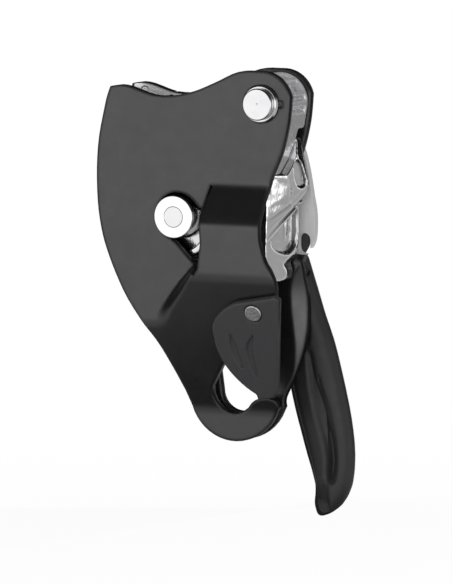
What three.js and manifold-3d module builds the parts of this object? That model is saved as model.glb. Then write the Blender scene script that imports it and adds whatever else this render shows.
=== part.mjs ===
// Rappel descender: two side plates, a sprung cam between them, a hook-and-gate eye and a folding handle.
// Millimetres, +X right, +Y from the front plate to the rear plate, +Z up.
// Pieces are drawn about the cam axle; the whole is then moved so that the connector eye is the origin.
import * as THREE from "three";
import { mergeVertices } from "three/addons/utils/BufferGeometryUtils.js";
import Module from "manifold-3d";

const wasm = await Module();
wasm.setup();

// Driving sizes of the plates
const PLATE = 3.2; // sheet thickness
const ROPE_GAP = 18.6; // between the plates, upper half
const FIT = 0.3; // clearance of every seated pair
const OVERRUN = 4; // how far a cut runs past the face it opens
const PIN_X = 40.3; // swing pin from the cam axle
const PIN_Z = 50.2;
const EYE_X = 20.5; // connector eye from the cam axle
const EYE_DROP = 78;
const EYE_RADIUS = 9.3;
const HOOK_RADIUS = 21.7; // outer edge round the eye
const LOBE_RADIUS = 14.1; // outer edge round the swing pin
const LEFT_REACH = 39.2; // left edge from the cam axle
const WAIST_REACH = 41.9; // right edge at its narrowest, from the cam axle
const FLARE_ANGLE = 25; // degrees that the rear plate's right flank is bent back
const FLARE_SOFT = 0.8; // half width of that bend
const EDGE_BREAK = 0.5; // chamfer on turned and cast edges

// Driving sizes of the pressed front plate
const BRIDGE_RISE = 9; // raised strap over the axle head
const HOOK_SINK = 15; // hook pressed in towards the rear plate
const UPPER_BEND_Z = 14.1;
const LOWER_BEND_Z = 0.5;
const RAMP_TOP_DROP = 25; // below the axle, where the ramp to the hook starts
const RAMP_END_DROP = 86; // where it ends
const BEND_SOFT = 2.4; // half length of each rounded bend
const LANCE_WIDTH = 1.2; // slit that frees the strap's left edge
const WELL_RADIUS = 10.5; // opening round the axle head
const BAND_WIDTH = 8.5; // soft wall between the flat and the raised strap
const MOST_STRETCH = 1.25; // the sheet thins where it is drawn more than this

// Axle, swing pin and their washers
const AXLE_RADIUS = 5;
const AXLE_TIP_RADIUS = 4.2; // peened end seen in the head
const HEAD_RADIUS = 9.35;
const HEAD_UNDER_BRIDGE = 1.8; // clearance of the head under the strap
const HEAD_CHAMFER = 0.8;
const WASHER = 0.7;
const WASHER_RADIUS = 8.4;
const BUSH_WALL = 1.3;
const NUT_RADIUS = 8;
const NUT_HEIGHT = 3.4;
const PIN_RADIUS = 4.6;
const PIN_HEAD_RADIUS = 6.95;
const PIN_HEAD_HEIGHT = 2.4;
const PIN_TAIL_RADIUS = 5.6;
const PIN_WASHER_RADIUS = 8.5;
const PIN_WASHER = 1.5;
const NOTCH_REACH = 10.2; // detent notch beside the swing pin's hole
const NOTCH_HEIGHT = 2.6;

// Cam
const SHEAVE_RADIUS = 20;
const SHEAVE_OFFSET = 4; // sheave centre left of the axle
const GROOVE_DEPTH = 5.5;
const CHEEK = 3.4; // rear cheek that carries the outer arm
const SHEAVE_RIM = 3; // flange left round the recess in the sheave's front
const SHEAVE_RECESS = 3.8;
const HUB_RADIUS = 9;
const ARM_SET_BACK = 0.6; // arm's front face behind the sheave's
const ARM_SLANT = 57; // degrees between the arm's outer face and the plates
const ARM_FACE_X = 40.2; // where that face leaves the arm's front
const ARM_STEP = 4.2; // upper part of the face proud of the lower
const RIDGE_DROP = 10.2; // start of the diagonal ridge below the axle
const POCKET_DEPTH = 3.4;
const SLIT_WIDTH = 0.7;
const SPRING_WELL_RADIUS = 12.5;
const SPRING_WELL_DEPTH = 4.4;

// Gate
const GATE = 3.8;
const GATE_PIVOT_X = 40;
const GATE_PIVOT_DROP = 38.5;
const GATE_LENGTH = 43; // along the ramp from the pivot to the foot
const GATE_HALF = 21.4; // from the pivot to the belly
const GATE_RIVET_RADIUS = 2.1;
const GATE_RIVET_HEAD = 3.9;
const GATE_RIVET_DOME = 0.9;
const GROOVE_CUT = 1;

// Handle
const LEVER = 3.4;
const LEVER_HUB_RADIUS = 13;
const LEVER_JOG = 7.4; // set back of the tongue inside the grip
const LEVER_REACH = 54.5; // right edge from the cam axle
const GRIP_DROP = 132; // toe of the grip below the axle
const GRIP_REACH = 69.2; // grip's right edge from the axle
const GRIP_SET_BACK = 3.8; // grip's front behind the lever's, clear of the bent flank
const GRIP_DEPTH = 12.4;
const GRIP_TAB = 3; // tab behind the slot in the lug
const GRIP_RECESS = 2.2;
const SLOT_HALF = 2.9; // slot in the lever's lug
const SLOT_RISE = 1.7;
const HANDLE_WASHER = 1;

// Wire springs
const CAM_WIRE = 1.3;
const CAM_COIL_RADIUS = 9.9;
const CAM_COIL_TURNS = 1.5;
const GATE_WIRE = 0.6;
const GATE_COIL_RADIUS = 3.5;
const GATE_COIL_TURNS = 1.25;
const COIL_CLEAR = 0.7; // daylight between turns

// Small rivets and the entry guide
const RIVET_RADIUS = 1.8;
const RIVET_HEAD = 3;
const RIVET_SINK = 1.4; // flush heads let into the rear plate
const GUIDE_THICK = 5.6;
const GUIDE_GROOVE = 2.2;
const BLOCK_INSET = 1.5; // brake block inside the plates' edge
const BLOCK_RIM = 2.6;
const BLOCK_POCKET = 5.2;
const BLOCK_RIB = 2.4;

// Segment counts
const ROUND = 40;
const SMALL_ROUND = 20;
const CURL_STEPS = 8;
const WIRE_SIDES = 5;

// Levels along Y
const frontInner = -ROPE_GAP / 2;
const frontOuter = frontInner - PLATE;
const rearInner = ROPE_GAP / 2;
const rearOuter = rearInner + PLATE;
const headTop = frontOuter - BRIDGE_RISE + PLATE + HEAD_UNDER_BRIDGE;
const camHalf = rearInner - WASHER - 2 * FIT;
const leverFront = rearOuter + FIT;
const leverBack = leverFront + LEVER;
const eyeZ = -EYE_DROP;
const eyeMidY = (frontOuter + HOOK_SINK + rearOuter) / 2;

// Finishes
const blackAnodised = { color: 0x3a393b, roughness: 0.42, metalness: 0.6 };
const polishedSteel = { color: 0xd9d9dc, roughness: 0.18, metalness: 1 };
const castSilver = { color: 0xb9b9bb, roughness: 0.24, metalness: 1 };
const mattSilver = { color: 0xb4b4b6, roughness: 0.5, metalness: 0.9 };
const bronze = { color: 0xa9793f, roughness: 0.4, metalness: 1 };
const springSteel = { color: 0x8e8e90, roughness: 0.35, metalness: 1 };
const blackNylon = { color: 0x2f2e30, roughness: 0.55, metalness: 0 };

const group = new THREE.Group();

// Geometry to solid and back
function solidOf(geometry) {
  const bare = geometry.index ? geometry.toNonIndexed() : geometry.clone();
  bare.deleteAttribute("normal");
  bare.deleteAttribute("uv");
  const merged = mergeVertices(bare, 1e-4);
  const triVerts = new Uint32Array(merged.index.array);
  const vertProperties = new Float32Array(merged.attributes.position.array);
  const made = new wasm.Manifold(new wasm.Mesh({ numProp: 3, vertProperties, triVerts }));
  if (made.volume() > 0) return made;
  const turned = triVerts.map((_, i) => triVerts[i - (i % 3) + ((3 - (i % 3)) % 3)]);
  return new wasm.Manifold(new wasm.Mesh({ numProp: 3, vertProperties, triVerts: turned }));
}

function geometryOf(solid) {
  const mesh = solid.getMesh();
  const positions = new Float32Array(mesh.numVert * 3);
  for (let i = 0; i < mesh.numVert; i += 1) {
    const start = i * mesh.numProp;
    positions.set(mesh.vertProperties.subarray(start, start + 3), i * 3);
  }
  const geometry = new THREE.BufferGeometry();
  geometry.setAttribute("position", new THREE.BufferAttribute(positions, 3));
  geometry.setIndex(new THREE.BufferAttribute(new Uint32Array(mesh.triVerts), 1));
  return geometry;
}

function cutAll(body, ...cutters) {
  return cutters.flat().reduce((left, cutter) => left.subtract(cutter), body);
}

function joinAll(body, ...others) {
  return others.flat().reduce((left, other) => left.add(other), body);
}

function addPiece(name, solid, finish, parent = group) {
  const geometry = geometryOf(solid);
  const mesh = new THREE.Mesh(geometry, new THREE.MeshStandardMaterial(finish));
  mesh.name = name;
  parent.add(mesh);
  return mesh;
}

// Outlines in the X-Z plane
function arc(x, z, radius, from, to, steps) {
  const points = [];
  for (let i = 0; i <= steps; i += 1) {
    const angle = THREE.MathUtils.degToRad(from + ((to - from) * i) / steps);
    points.push(new THREE.Vector2(x + radius * Math.cos(angle), z + radius * Math.sin(angle)));
  }
  return points;
}

function curve(points, perSpan) {
  return new THREE.SplineCurve(points).getPoints(perSpan * (points.length - 1));
}

function scaled(shares, x, z, fromX = 0, fromZ = 0) {
  return shares.map(([u, v]) => new THREE.Vector2(fromX + u * x, fromZ + v * z));
}

function joined(...runs) {
  const points = [];
  for (const point of runs.flat()) {
    const last = points[points.length - 1];
    if (!last || last.distanceTo(point) > FIT / 2) points.push(point);
  }
  if (points[0].distanceTo(points[points.length - 1]) < FIT / 2) points.pop();
  return points;
}

// A flat solid between two levels along Y, with an optional chamfer on its rim
function prismGeometry(points, from, to, chamfer = 0, steps = 1) {
  const geometry = new THREE.ExtrudeGeometry(new THREE.Shape(points), {
    depth: to - from - 2 * chamfer,
    bevelEnabled: chamfer > 0,
    bevelThickness: chamfer,
    bevelSize: chamfer,
    bevelOffset: -chamfer,
    bevelSegments: steps,
    curveSegments: 1,
  });
  geometry.rotateX(Math.PI / 2);
  geometry.translate(0, to - chamfer, 0);
  return geometry;
}

function prism(points, from, to, chamfer = 0, steps = 1) {
  return solidOf(prismGeometry(points, from, to, chamfer, steps));
}

// A turned solid about the Y axis; the profile is a list of [radius, y]
function turned(profile, x = 0, z = 0, steps = ROUND) {
  const geometry = new THREE.LatheGeometry(
    profile.map(([radius, y]) => new THREE.Vector2(radius, y)),
    steps,
  );
  geometry.translate(x, 0, z);
  return solidOf(geometry);
}

function rod(radius, from, to, x = 0, z = 0, steps = ROUND) {
  return turned([[0, from], [radius, from], [radius, to], [0, to]], x, z, steps);
}

function ring(inner, outer, from, to, x = 0, z = 0, steps = ROUND) {
  return turned(
    [[inner, from], [outer, from], [outer, to], [inner, to], [inner, from]],
    x,
    z,
    steps,
  );
}

// Soft corner: zero before it, a straight line after it
function softStep(t, soft) {
  if (t <= -soft) return 0;
  if (t >= soft) return t;
  return (t + soft) ** 2 / (4 * soft);
}

function between(z, from, to, rise) {
  return (rise / (to - from)) * (softStep(z - from, BEND_SOFT) - softStep(z - to, BEND_SOFT));
}

function tableAt(table, z) {
  for (let i = 1; i < table.length; i += 1) {
    const [z0, v0] = table[i - 1];
    const [z1, v1] = table[i];
    if (z >= z1) return v0 + ((v1 - v0) * (z - z0)) / (z1 - z0);
  }
  return table[table.length - 1][1];
}

// A pressed sheet: rows along Z, columns along X, both faces and the four sides
function pressedGeometry(rows, columnsAt, faceAt, thickness) {
  const width = columnsAt(rows[0]).length;
  const positions = [];
  const step = FIT / 10; // half the span over which the slope is taken
  for (const side of [0, 1]) {
    for (const z of rows) {
      for (const x of columnsAt(z)) {
        const slopeX = (faceAt(x + step, z) - faceAt(x - step, z)) / (2 * step);
        const slopeZ = (faceAt(x, z + step) - faceAt(x, z - step)) / (2 * step);
        const through = thickness * Math.min(Math.hypot(1, slopeX, slopeZ), MOST_STRETCH);
        positions.push(x, faceAt(x, z) + side * through, z);
      }
    }
  }
  const layer = rows.length * width;
  const index = [];
  const at = (side, row, column) => side * layer + row * width + column;
  const quad = (a, b, c, d) => index.push(a, b, c, a, c, d);
  for (let r = 0; r + 1 < rows.length; r += 1) {
    for (let c = 0; c + 1 < width; c += 1) {
      quad(at(0, r, c), at(0, r + 1, c), at(0, r + 1, c + 1), at(0, r, c + 1));
      quad(at(1, r, c), at(1, r, c + 1), at(1, r + 1, c + 1), at(1, r + 1, c));
    }
    const last = width - 1;
    quad(at(0, r, 0), at(1, r, 0), at(1, r + 1, 0), at(0, r + 1, 0));
    quad(at(0, r, last), at(0, r + 1, last), at(1, r + 1, last), at(1, r, last));
  }
  const end = rows.length - 1;
  for (let c = 0; c + 1 < width; c += 1) {
    quad(at(0, 0, c), at(0, 0, c + 1), at(1, 0, c + 1), at(1, 0, c));
    quad(at(0, end, c), at(1, end, c), at(1, end, c + 1), at(0, end, c + 1));
  }
  const geometry = new THREE.BufferGeometry();
  geometry.setAttribute("position", new THREE.Float32BufferAttribute(positions, 3));
  geometry.setIndex(index);
  return geometry;
}

function pressedSheet(rows, columnsAt, faceAt, thickness) {
  return solidOf(pressedGeometry(rows, columnsAt, faceAt, thickness));
}

// Plate outlines, anticlockwise as seen from the front
const saddleShares = [
  [0.906, 1.281], [0.79, 1.279], [0.667, 1.253], [0.511, 1.193], [0.308, 1.122], [0.189, 1.088],
  [0.033, 1.057], [-0.122, 1.043], [-0.29, 1.049], [-0.422, 1.078], [-0.565, 1.115],
  [-0.685, 1.128], [-0.805, 1.112],
];
const cornerShares = [[-0.828, 1.112], [-0.868, 1.03], [-0.9, 0.934]];
const upperLeftShares = [[-0.972, 0.669], [-1, 0.398], [-0.99, 0.1]];
const lowerLeftShares = [
  [-0.946, -0.085], [-0.88, -0.2], [-0.763, -0.341], [-0.615, -0.481],
  [-0.39, -0.638], [-0.268, -0.735], [-0.145, -0.872], [-0.045, -1.0],
];

function leftEdge() {
  const left = [
    ...scaled(cornerShares, LEFT_REACH, PIN_Z),
    ...scaled(upperLeftShares, LEFT_REACH, PIN_Z),
    ...scaled(lowerLeftShares, LEFT_REACH, EYE_DROP),
  ];
  return [...curve(scaled(saddleShares, PIN_X, PIN_Z), 2), ...curve(left, 3)];
}

function lobeEdge() {
  return arc(PIN_X, PIN_Z, LOBE_RADIUS, 14, 88, 10);
}

const waistUpperShares = [
  [1.277, 0.94], [1.253, 0.795], [1.187, 0.578], [1.084, 0.378], [1.035, 0.213], [1.028, 0.06],
];
const waistLowerShares = [[1.026, -0.06], [1.045, -0.13], [1.1, -0.22]];

function waistEdge() {
  return [
    ...scaled(waistLowerShares, WAIST_REACH, EYE_DROP).reverse(),
    ...scaled(waistUpperShares, WAIST_REACH, PIN_Z).reverse(),
  ];
}

const noseShares = [
  [1, -0.25], [0.985, -0.165], [0.933, -0.101], [0.82, -0.065], [0.7, -0.065], [0.55, -0.1],
  [0.424, -0.18], [0.327, -0.29],
];
const mouthShares = [[-0.41, 0.13], [-0.1, 0.58], [0.16, 0.85], [0.6, 1.02]];
const frontHipShares = [
  [0.99, -0.72], [1.09, -0.63], [1.15, -0.52], [1.19, -0.42], [1.207, -0.335], [1.158, -0.267],
];

function frontOutline() {
  const hip = scaled(frontHipShares, WAIST_REACH, EYE_DROP);
  return joined(
    lobeEdge(),
    leftEdge(),
    arc(EYE_X, eyeZ, HOOK_RADIUS, 206, 340, 18),
    curve(scaled(noseShares, HOOK_RADIUS, HOOK_RADIUS, EYE_X, eyeZ), 3),
    arc(EYE_X, eyeZ, EYE_RADIUS, -64, -186, 14),
    curve(scaled(mouthShares, HOOK_RADIUS, HOOK_RADIUS, EYE_X, eyeZ), 3),
    curve([...hip, ...waistEdge()], 3),
  );
}

const rearHipShares = [[0.97, -0.28], [0.966, -0.1]];
const rearFlankShares = [
  [1.095, -0.91], [1.178, -0.775], [1.216, -0.66], [1.224, -0.57], [1.216, -0.46], [1.185, -0.35],
  [1.17, -0.25],
];

function rearOutline() {
  const flank = scaled(rearFlankShares, WAIST_REACH, EYE_DROP);
  const hip = scaled(rearHipShares, HOOK_RADIUS, HOOK_RADIUS, EYE_X, eyeZ);
  return joined(
    lobeEdge(),
    leftEdge(),
    arc(EYE_X, eyeZ, HOOK_RADIUS, 206, 330, 16),
    curve([...hip, ...flank, ...waistEdge()], 3),
  );
}

const eyeCrownShares = [[1, 0.35], [0.85, 1.35], [0.1, 1.82], [-0.75, 1.5], [-1.12, 0.85]];

function rearEye() {
  const crown = scaled(eyeCrownShares, EYE_RADIUS, EYE_RADIUS, EYE_X, eyeZ);
  return joined(arc(EYE_X, eyeZ, EYE_RADIUS, 180, 360, 16), curve(crown, 3));
}

// Heights of the pressed front plate over its flat, outwards
const rampSlope = (BRIDGE_RISE + HOOK_SINK) / (RAMP_END_DROP - RAMP_TOP_DROP);
const flatEndDrop = RAMP_TOP_DROP + BRIDGE_RISE / rampSlope;
const rampAngle = Math.atan(rampSlope);
const strapEdgeShares = [
  [2, 0.411], [0.281, 0.411], [0.06, 0.344], [-0.2, 0.365], [-0.43, 0.332], [-0.49, 0.286],
];
const strapEdge = strapEdgeShares.map(([z, x]) => [z * PIN_Z, x * WAIST_REACH]);
const bandStartShares = [[0.7, 0.28], [0.88, 0.85], [1, 1.2], [1.18, 1.72], [1.65, 2.8], [3.44, 5.5]];
const bandSpreadShares = [[0.7, 0.27], [0.88, 0.7], [1.18, 1], [3.44, 1]];
const bandCorner = strapEdge[4][1];
const bandStart = [
  ...strapEdge.slice(0, 4).map(([z, x]) => [z, x - LANCE_WIDTH]),
  ...bandStartShares.map(([drop, back]) => [-RAMP_TOP_DROP * drop, bandCorner - BAND_WIDTH * back]),
];
const bandSpread = [
  [strapEdge[0][0], LANCE_WIDTH],
  [strapEdge[3][0], LANCE_WIDTH],
  ...bandSpreadShares.map(([drop, width]) => [-RAMP_TOP_DROP * drop, BAND_WIDTH * width]),
];

function raisedAt(z) {
  const strap = between(z, LOWER_BEND_Z, UPPER_BEND_Z, -BRIDGE_RISE);
  const ramp = between(z, -RAMP_END_DROP, -RAMP_TOP_DROP, BRIDGE_RISE + HOOK_SINK);
  return ramp + strap - HOOK_SINK;
}

function flatAt(z) {
  return between(z, -RAMP_END_DROP, -flatEndDrop, HOOK_SINK) - HOOK_SINK;
}

function frontFaceAt(x, z) {
  const t = (x - tableAt(bandStart, z)) / tableAt(bandSpread, z);
  const share = THREE.MathUtils.smoothstep(t, 0, 1);
  return frontOuter - flatAt(z) - share * (raisedAt(z) - flatAt(z));
}

function rowsOf(bends, spaced) {
  const rows = new Set(spaced);
  for (const bend of bends) {
    for (let k = -3; k <= 3; k += 1) rows.add(bend + (BEND_SOFT * k) / 3);
  }
  const sorted = [...rows].sort((a, b) => b - a);
  return sorted.filter((z, i) => i === 0 || sorted[i - 1] - z > FIT);
}

function spread(from, to, count) {
  return Array.from({ length: count + 1 }, (_, i) => from + ((to - from) * i) / count);
}

const reachOut = 2 * (PIN_Z + LOBE_RADIUS);

function frontPlate() {
  const rows = rowsOf(
    [UPPER_BEND_Z, LOWER_BEND_Z, -RAMP_TOP_DROP, -flatEndDrop, -RAMP_END_DROP],
    [
      reachOut,
      ...spread(UPPER_BEND_Z, -RAMP_TOP_DROP, 9),
      ...spread(-RAMP_TOP_DROP, -flatEndDrop, 7),
      ...spread(-flatEndDrop, -RAMP_END_DROP, 3),
      -reachOut,
    ],
  );
  const columnsAt = (z) => {
    const start = tableAt(bandStart, z);
    const width = tableAt(bandSpread, z);
    return [-reachOut, ...spread(start, start + width, 8), reachOut];
  };
  const sheet = pressedSheet(rows, columnsAt, frontFaceAt, PLATE);
  const high = frontOuter - BRIDGE_RISE - OVERRUN;
  const low = frontOuter + HOOK_SINK + PLATE + OVERRUN;
  const blank = sheet.intersect(prism(frontOutline(), high, low));
  return cutAll(
    blank,
    rod(WELL_RADIUS, high, low),
    prism(wellOutline(), high, low),
    headSweep(low),
    rod(PIN_RADIUS + FIT, high, low, PIN_X, PIN_Z),
    box(PIN_X + NOTCH_REACH / 2, NOTCH_REACH, high, low, PIN_Z, NOTCH_HEIGHT),
    gateHole(),
  );
}

function box(x, width, from, to, z, height) {
  const geometry = new THREE.BoxGeometry(width, to - from, height);
  geometry.translate(x, (from + to) / 2, z);
  return solidOf(geometry);
}

// Room for the axle head as the front plate starts to swing about its pin
const sweepDegrees = [4, 8, 12];

function headSweep(low) {
  const pin = new THREE.Vector2(PIN_X, PIN_Z);
  return sweepDegrees.map((degrees) => {
    const centre = new THREE.Vector2().rotateAround(pin, THREE.MathUtils.degToRad(degrees));
    return rod(HEAD_RADIUS + 2 * FIT, headTop - FIT, low, centre.x, centre.y);
  });
}

// Teardrop below the axle head, bounded on the right by the strap's free edge, and the slit above it
const wellTipShares = [[0.286, -0.49], [-0.069, -0.193]];

function wellOutline() {
  const edge = strapEdge.slice(1, 5).map(([z, x]) => new THREE.Vector2(x, z));
  const [tip, shoulder] = scaled(wellTipShares, WAIST_REACH, PIN_Z);
  const slitLow = new THREE.Vector2(strapEdge[2][1] - LANCE_WIDTH * 2, strapEdge[2][0]);
  const slitTop = new THREE.Vector2(strapEdge[1][1] - LANCE_WIDTH, UPPER_BEND_Z);
  return [slitTop, ...edge, tip, shoulder, new THREE.Vector2(0, 0), slitLow].reverse();
}

// Frame of the ramp: X across, then up along the ramp, then out of it
const rampFrame = new THREE.Matrix4();
rampFrame.makeBasis(
  new THREE.Vector3(1, 0, 0),
  new THREE.Vector3(0, -Math.sin(rampAngle), Math.cos(rampAngle)),
  new THREE.Vector3(0, -Math.cos(rampAngle), -Math.sin(rampAngle)),
);
rampFrame.setPosition(
  GATE_PIVOT_X,
  frontOuter - BRIDGE_RISE + (GATE_PIVOT_DROP - RAMP_TOP_DROP) * rampSlope,
  -GATE_PIVOT_DROP,
);

// A solid drawn in a frame: outline across and up, and two heights out of it
function framedPrism(frame, points, from, to, chamfer = 0, steps = 1) {
  const geometry = new THREE.ExtrudeGeometry(new THREE.Shape(points), {
    depth: to - from - 2 * chamfer,
    bevelEnabled: chamfer > 0,
    bevelThickness: chamfer,
    bevelSize: chamfer,
    bevelOffset: -chamfer,
    bevelSegments: steps,
    curveSegments: 1,
  });
  geometry.translate(0, 0, from + chamfer);
  geometry.applyMatrix4(frame);
  return solidOf(geometry);
}

function rampTurned(profile, steps = SMALL_ROUND) {
  const geometry = new THREE.LatheGeometry(
    profile.map(([radius, out]) => new THREE.Vector2(radius, out)),
    steps,
  );
  geometry.rotateX(Math.PI / 2);
  geometry.applyMatrix4(rampFrame);
  return solidOf(geometry);
}

function gateHole() {
  const radius = GATE_RIVET_RADIUS + FIT;
  return rampTurned([[0, -PLATE - OVERRUN], [radius, -PLATE - OVERRUN], [radius, OVERRUN], [0, OVERRUN]]);
}

// Gate outline about its rivet: across by the belly's reach, up by the length to the foot
const gateShares = [
  [-0.42, 0.1], [-0.72, 0.01], [-0.97, -0.14], [-1, -0.29], [-0.97, -0.45], [-0.86, -0.61],
  [-0.68, -0.75], [-0.45, -0.87], [-0.26, -0.94],
];
const gateFootShares = [[-0.24, -1], [0.0, -0.985], [0.13, -0.965], [0.235, -0.9]];
const gateBackShares = [[0.63, 0.16], [0.5, 0.19]];
const creaseShares = [
  [[-0.6, -0.22], [-0.63, -0.42], [-0.44, -0.66], [-0.5, -0.42]],
  [[-0.05, -0.22], [-0.3, -0.42], [-0.14, -0.76], [-0.16, -0.42]],
];

function gate() {
  const outline = joined(
    curve(scaled(gateShares, GATE_HALF, GATE_LENGTH), 3),
    scaled(gateFootShares, GATE_HALF, GATE_LENGTH),
    scaled(gateBackShares, GATE_HALF, GATE_LENGTH),
  );
  const body = framedPrism(rampFrame, outline, FIT, FIT + GATE, GATE / 4, 2);
  const creases = creaseShares.map((shares) =>
    framedPrism(
      rampFrame,
      curve(scaled([...shares, shares[0]], GATE_HALF, GATE_LENGTH), 4).slice(0, -1),
      FIT + GATE - GROOVE_CUT,
      FIT + GATE + OVERRUN,
    ),
  );
  return cutAll(body, gateBore(), ...creases);
}

function gateBore() {
  const bore = GATE_RIVET_RADIUS + FIT;
  const seat = GATE_RIVET_HEAD + FIT;
  const floor = FIT + GATE - GATE_RIVET_DOME;
  const top = FIT + GATE + OVERRUN;
  return rampTurned([[0, -OVERRUN], [bore, -OVERRUN], [bore, floor], [seat, floor], [seat, top], [0, top]]);
}

const gateCoilRise = GATE_WIRE + GATE_COIL_TURNS * (GATE_WIRE + COIL_CLEAR);
const gateUnderSpring = -PLATE - gateCoilRise - 2 * FIT;

function gateRivet() {
  const floor = FIT + GATE - GATE_RIVET_DOME + FIT;
  const top = floor + GATE_RIVET_DOME;
  const tail = gateUnderSpring - FIT;
  const tailEnd = tail - GATE_RIVET_DOME;
  return rampTurned([
    [0, tailEnd],
    [GATE_RIVET_HEAD, tailEnd],
    [GATE_RIVET_HEAD, tail],
    [GATE_RIVET_RADIUS, tail],
    [GATE_RIVET_RADIUS, floor],
    [GATE_RIVET_HEAD, floor],
    [GATE_RIVET_HEAD, top - FIT],
    [GATE_RIVET_HEAD - FIT, top],
    [0, top],
  ]);
}

// One unbroken wire: straight tail, helix, straight tail; returned with its least gap to itself
function coil(radius, wire, turns, name) {
  const pitch = wire + COIL_CLEAR;
  const steps = Math.round(turns * CURL_STEPS);
  const centres = [];
  const lead = wire * 2;
  for (let i = 0; i <= steps; i += 1) {
    const angle = (2 * Math.PI * i) / CURL_STEPS;
    const rise = (pitch * i) / CURL_STEPS;
    centres.push(new THREE.Vector3(radius * Math.cos(angle), rise, radius * Math.sin(angle)));
  }
  const first = centres[0].clone().sub(centres[1]).normalize().multiplyScalar(lead);
  const last = centres[steps].clone().sub(centres[steps - 1]).normalize().multiplyScalar(lead);
  centres.unshift(centres[0].clone().add(first));
  centres.push(centres[steps + 1].clone().add(last));
  const gap = leastGap(centres, wire);
  console.log(`${name} least gap to itself ${gap.toFixed(2)} mm`);
  return tubeThrough(centres, wire / 2);
}

function leastGap(centres, wire) {
  let least = Infinity;
  const fine = new THREE.CatmullRomCurve3(centres).getSpacedPoints(centres.length * 4);
  const skip = Math.ceil((fine.length * CURL_STEPS) / centres.length / 2);
  fine.forEach((point, i) => {
    for (let k = i + skip; k < fine.length; k += 1) {
      least = Math.min(least, point.distanceTo(fine[k]) - wire);
    }
  });
  return least;
}

function tubeThrough(centres, radius) {
  const positions = [];
  const index = [];
  const count = centres.length;
  const up = new THREE.Vector3(0, 1, 0);
  centres.forEach((centre, i) => {
    const ahead = centres[Math.min(i + 1, count - 1)];
    const behind = centres[Math.max(i - 1, 0)];
    const along = ahead.clone().sub(behind).normalize();
    const out = along.clone().cross(up).normalize();
    const over = out.clone().cross(along).normalize();
    for (let s = 0; s < WIRE_SIDES; s += 1) {
      const angle = (2 * Math.PI * s) / WIRE_SIDES;
      const point = centre.clone();
      point.addScaledVector(out, radius * Math.cos(angle));
      point.addScaledVector(over, radius * Math.sin(angle));
      positions.push(point.x, point.y, point.z);
    }
  });
  const at = (i, s) => i * WIRE_SIDES + (s % WIRE_SIDES);
  for (let i = 0; i + 1 < count; i += 1) {
    for (let s = 0; s < WIRE_SIDES; s += 1) {
      index.push(at(i, s), at(i, s + 1), at(i + 1, s + 1), at(i, s), at(i + 1, s + 1), at(i + 1, s));
    }
  }
  for (let s = 1; s + 1 < WIRE_SIDES; s += 1) {
    index.push(at(0, 0), at(0, s + 1), at(0, s));
    index.push(at(count - 1, 0), at(count - 1, s), at(count - 1, s + 1));
  }
  const geometry = new THREE.BufferGeometry();
  geometry.setAttribute("position", new THREE.Float32BufferAttribute(positions, 3));
  geometry.setIndex(index);
  return geometry;
}

// Rivet places as shares: on the guide, then on the brake block
const guideRivetShares = [[-0.62, 1.055], [-0.3, 0.985]];
const blockRivetShares = [[0.785, 1.06], [1.14, 0.8]];
const guideRivets = scaled(guideRivetShares, PIN_X, PIN_Z);
const blockRivets = scaled(blockRivetShares, PIN_X, PIN_Z);

// Hole through the rear plate with a counterbore for a flush head
function stepped(radius, headRadius, sink, place) {
  const floor = rearOuter - sink - FIT;
  const top = rearOuter + OVERRUN;
  return turned(
    [
      [0, rearInner - OVERRUN],
      [radius + FIT, rearInner - OVERRUN],
      [radius + FIT, floor],
      [headRadius + FIT, floor],
      [headRadius + FIT, top],
      [0, top],
    ],
    place.x,
    place.y,
    SMALL_ROUND,
  );
}

// Bend line of the right flank, from the top down
const flankBendShares = [
  [0, 1.45], [-0.15, 1.33], [-0.251, 1.2], [-0.3, 1.13], [-0.358, 1.08], [-0.427, 1.056], [-0.518, 1.064],
  [-0.614, 1.09], [-0.705, 1.112], [-0.8, 1.118], [-0.9, 1.11], [-1, 1.12], [-1.2, 1.16],
];
const flankBend = curve(
  flankBendShares.map(([z, x]) => new THREE.Vector2(x * WAIST_REACH, z * EYE_DROP)),
  2,
).map((point) => [point.y, point.x]);
const flareSlope = Math.tan(THREE.MathUtils.degToRad(FLARE_ANGLE));

function rearFaceAt(x, z) {
  return rearInner + flareSlope * softStep(x - tableAt(flankBend, z), FLARE_SOFT);
}

function rearPlate() {
  const rows = [reachOut, ...flankBend.map(([z]) => z), -reachOut];
  const columnsAt = (z) => {
    const bend = tableAt(flankBend, z);
    return [-reachOut, ...spread(bend - FLARE_SOFT, bend + FLARE_SOFT, 3), reachOut];
  };
  const from = rearInner - OVERRUN;
  const to = rearOuter + OVERRUN;
  const deep = rearOuter + reachOut * flareSlope;
  const sheet = pressedSheet(rows, columnsAt, rearFaceAt, PLATE);
  const blank = sheet.intersect(prism(rearOutline(), from, deep));
  const holes = [...guideRivets, ...blockRivets].map((p) => stepped(RIVET_RADIUS, RIVET_HEAD, RIVET_SINK, p));
  return cutAll(
    blank,
    rod(AXLE_RADIUS + FIT, from, to),
    stepped(PIN_RADIUS, PIN_TAIL_RADIUS, PIN_WASHER, new THREE.Vector2(PIN_X, PIN_Z)),
    prism(rearEye(), from, to),
    holes,
  );
}

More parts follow.
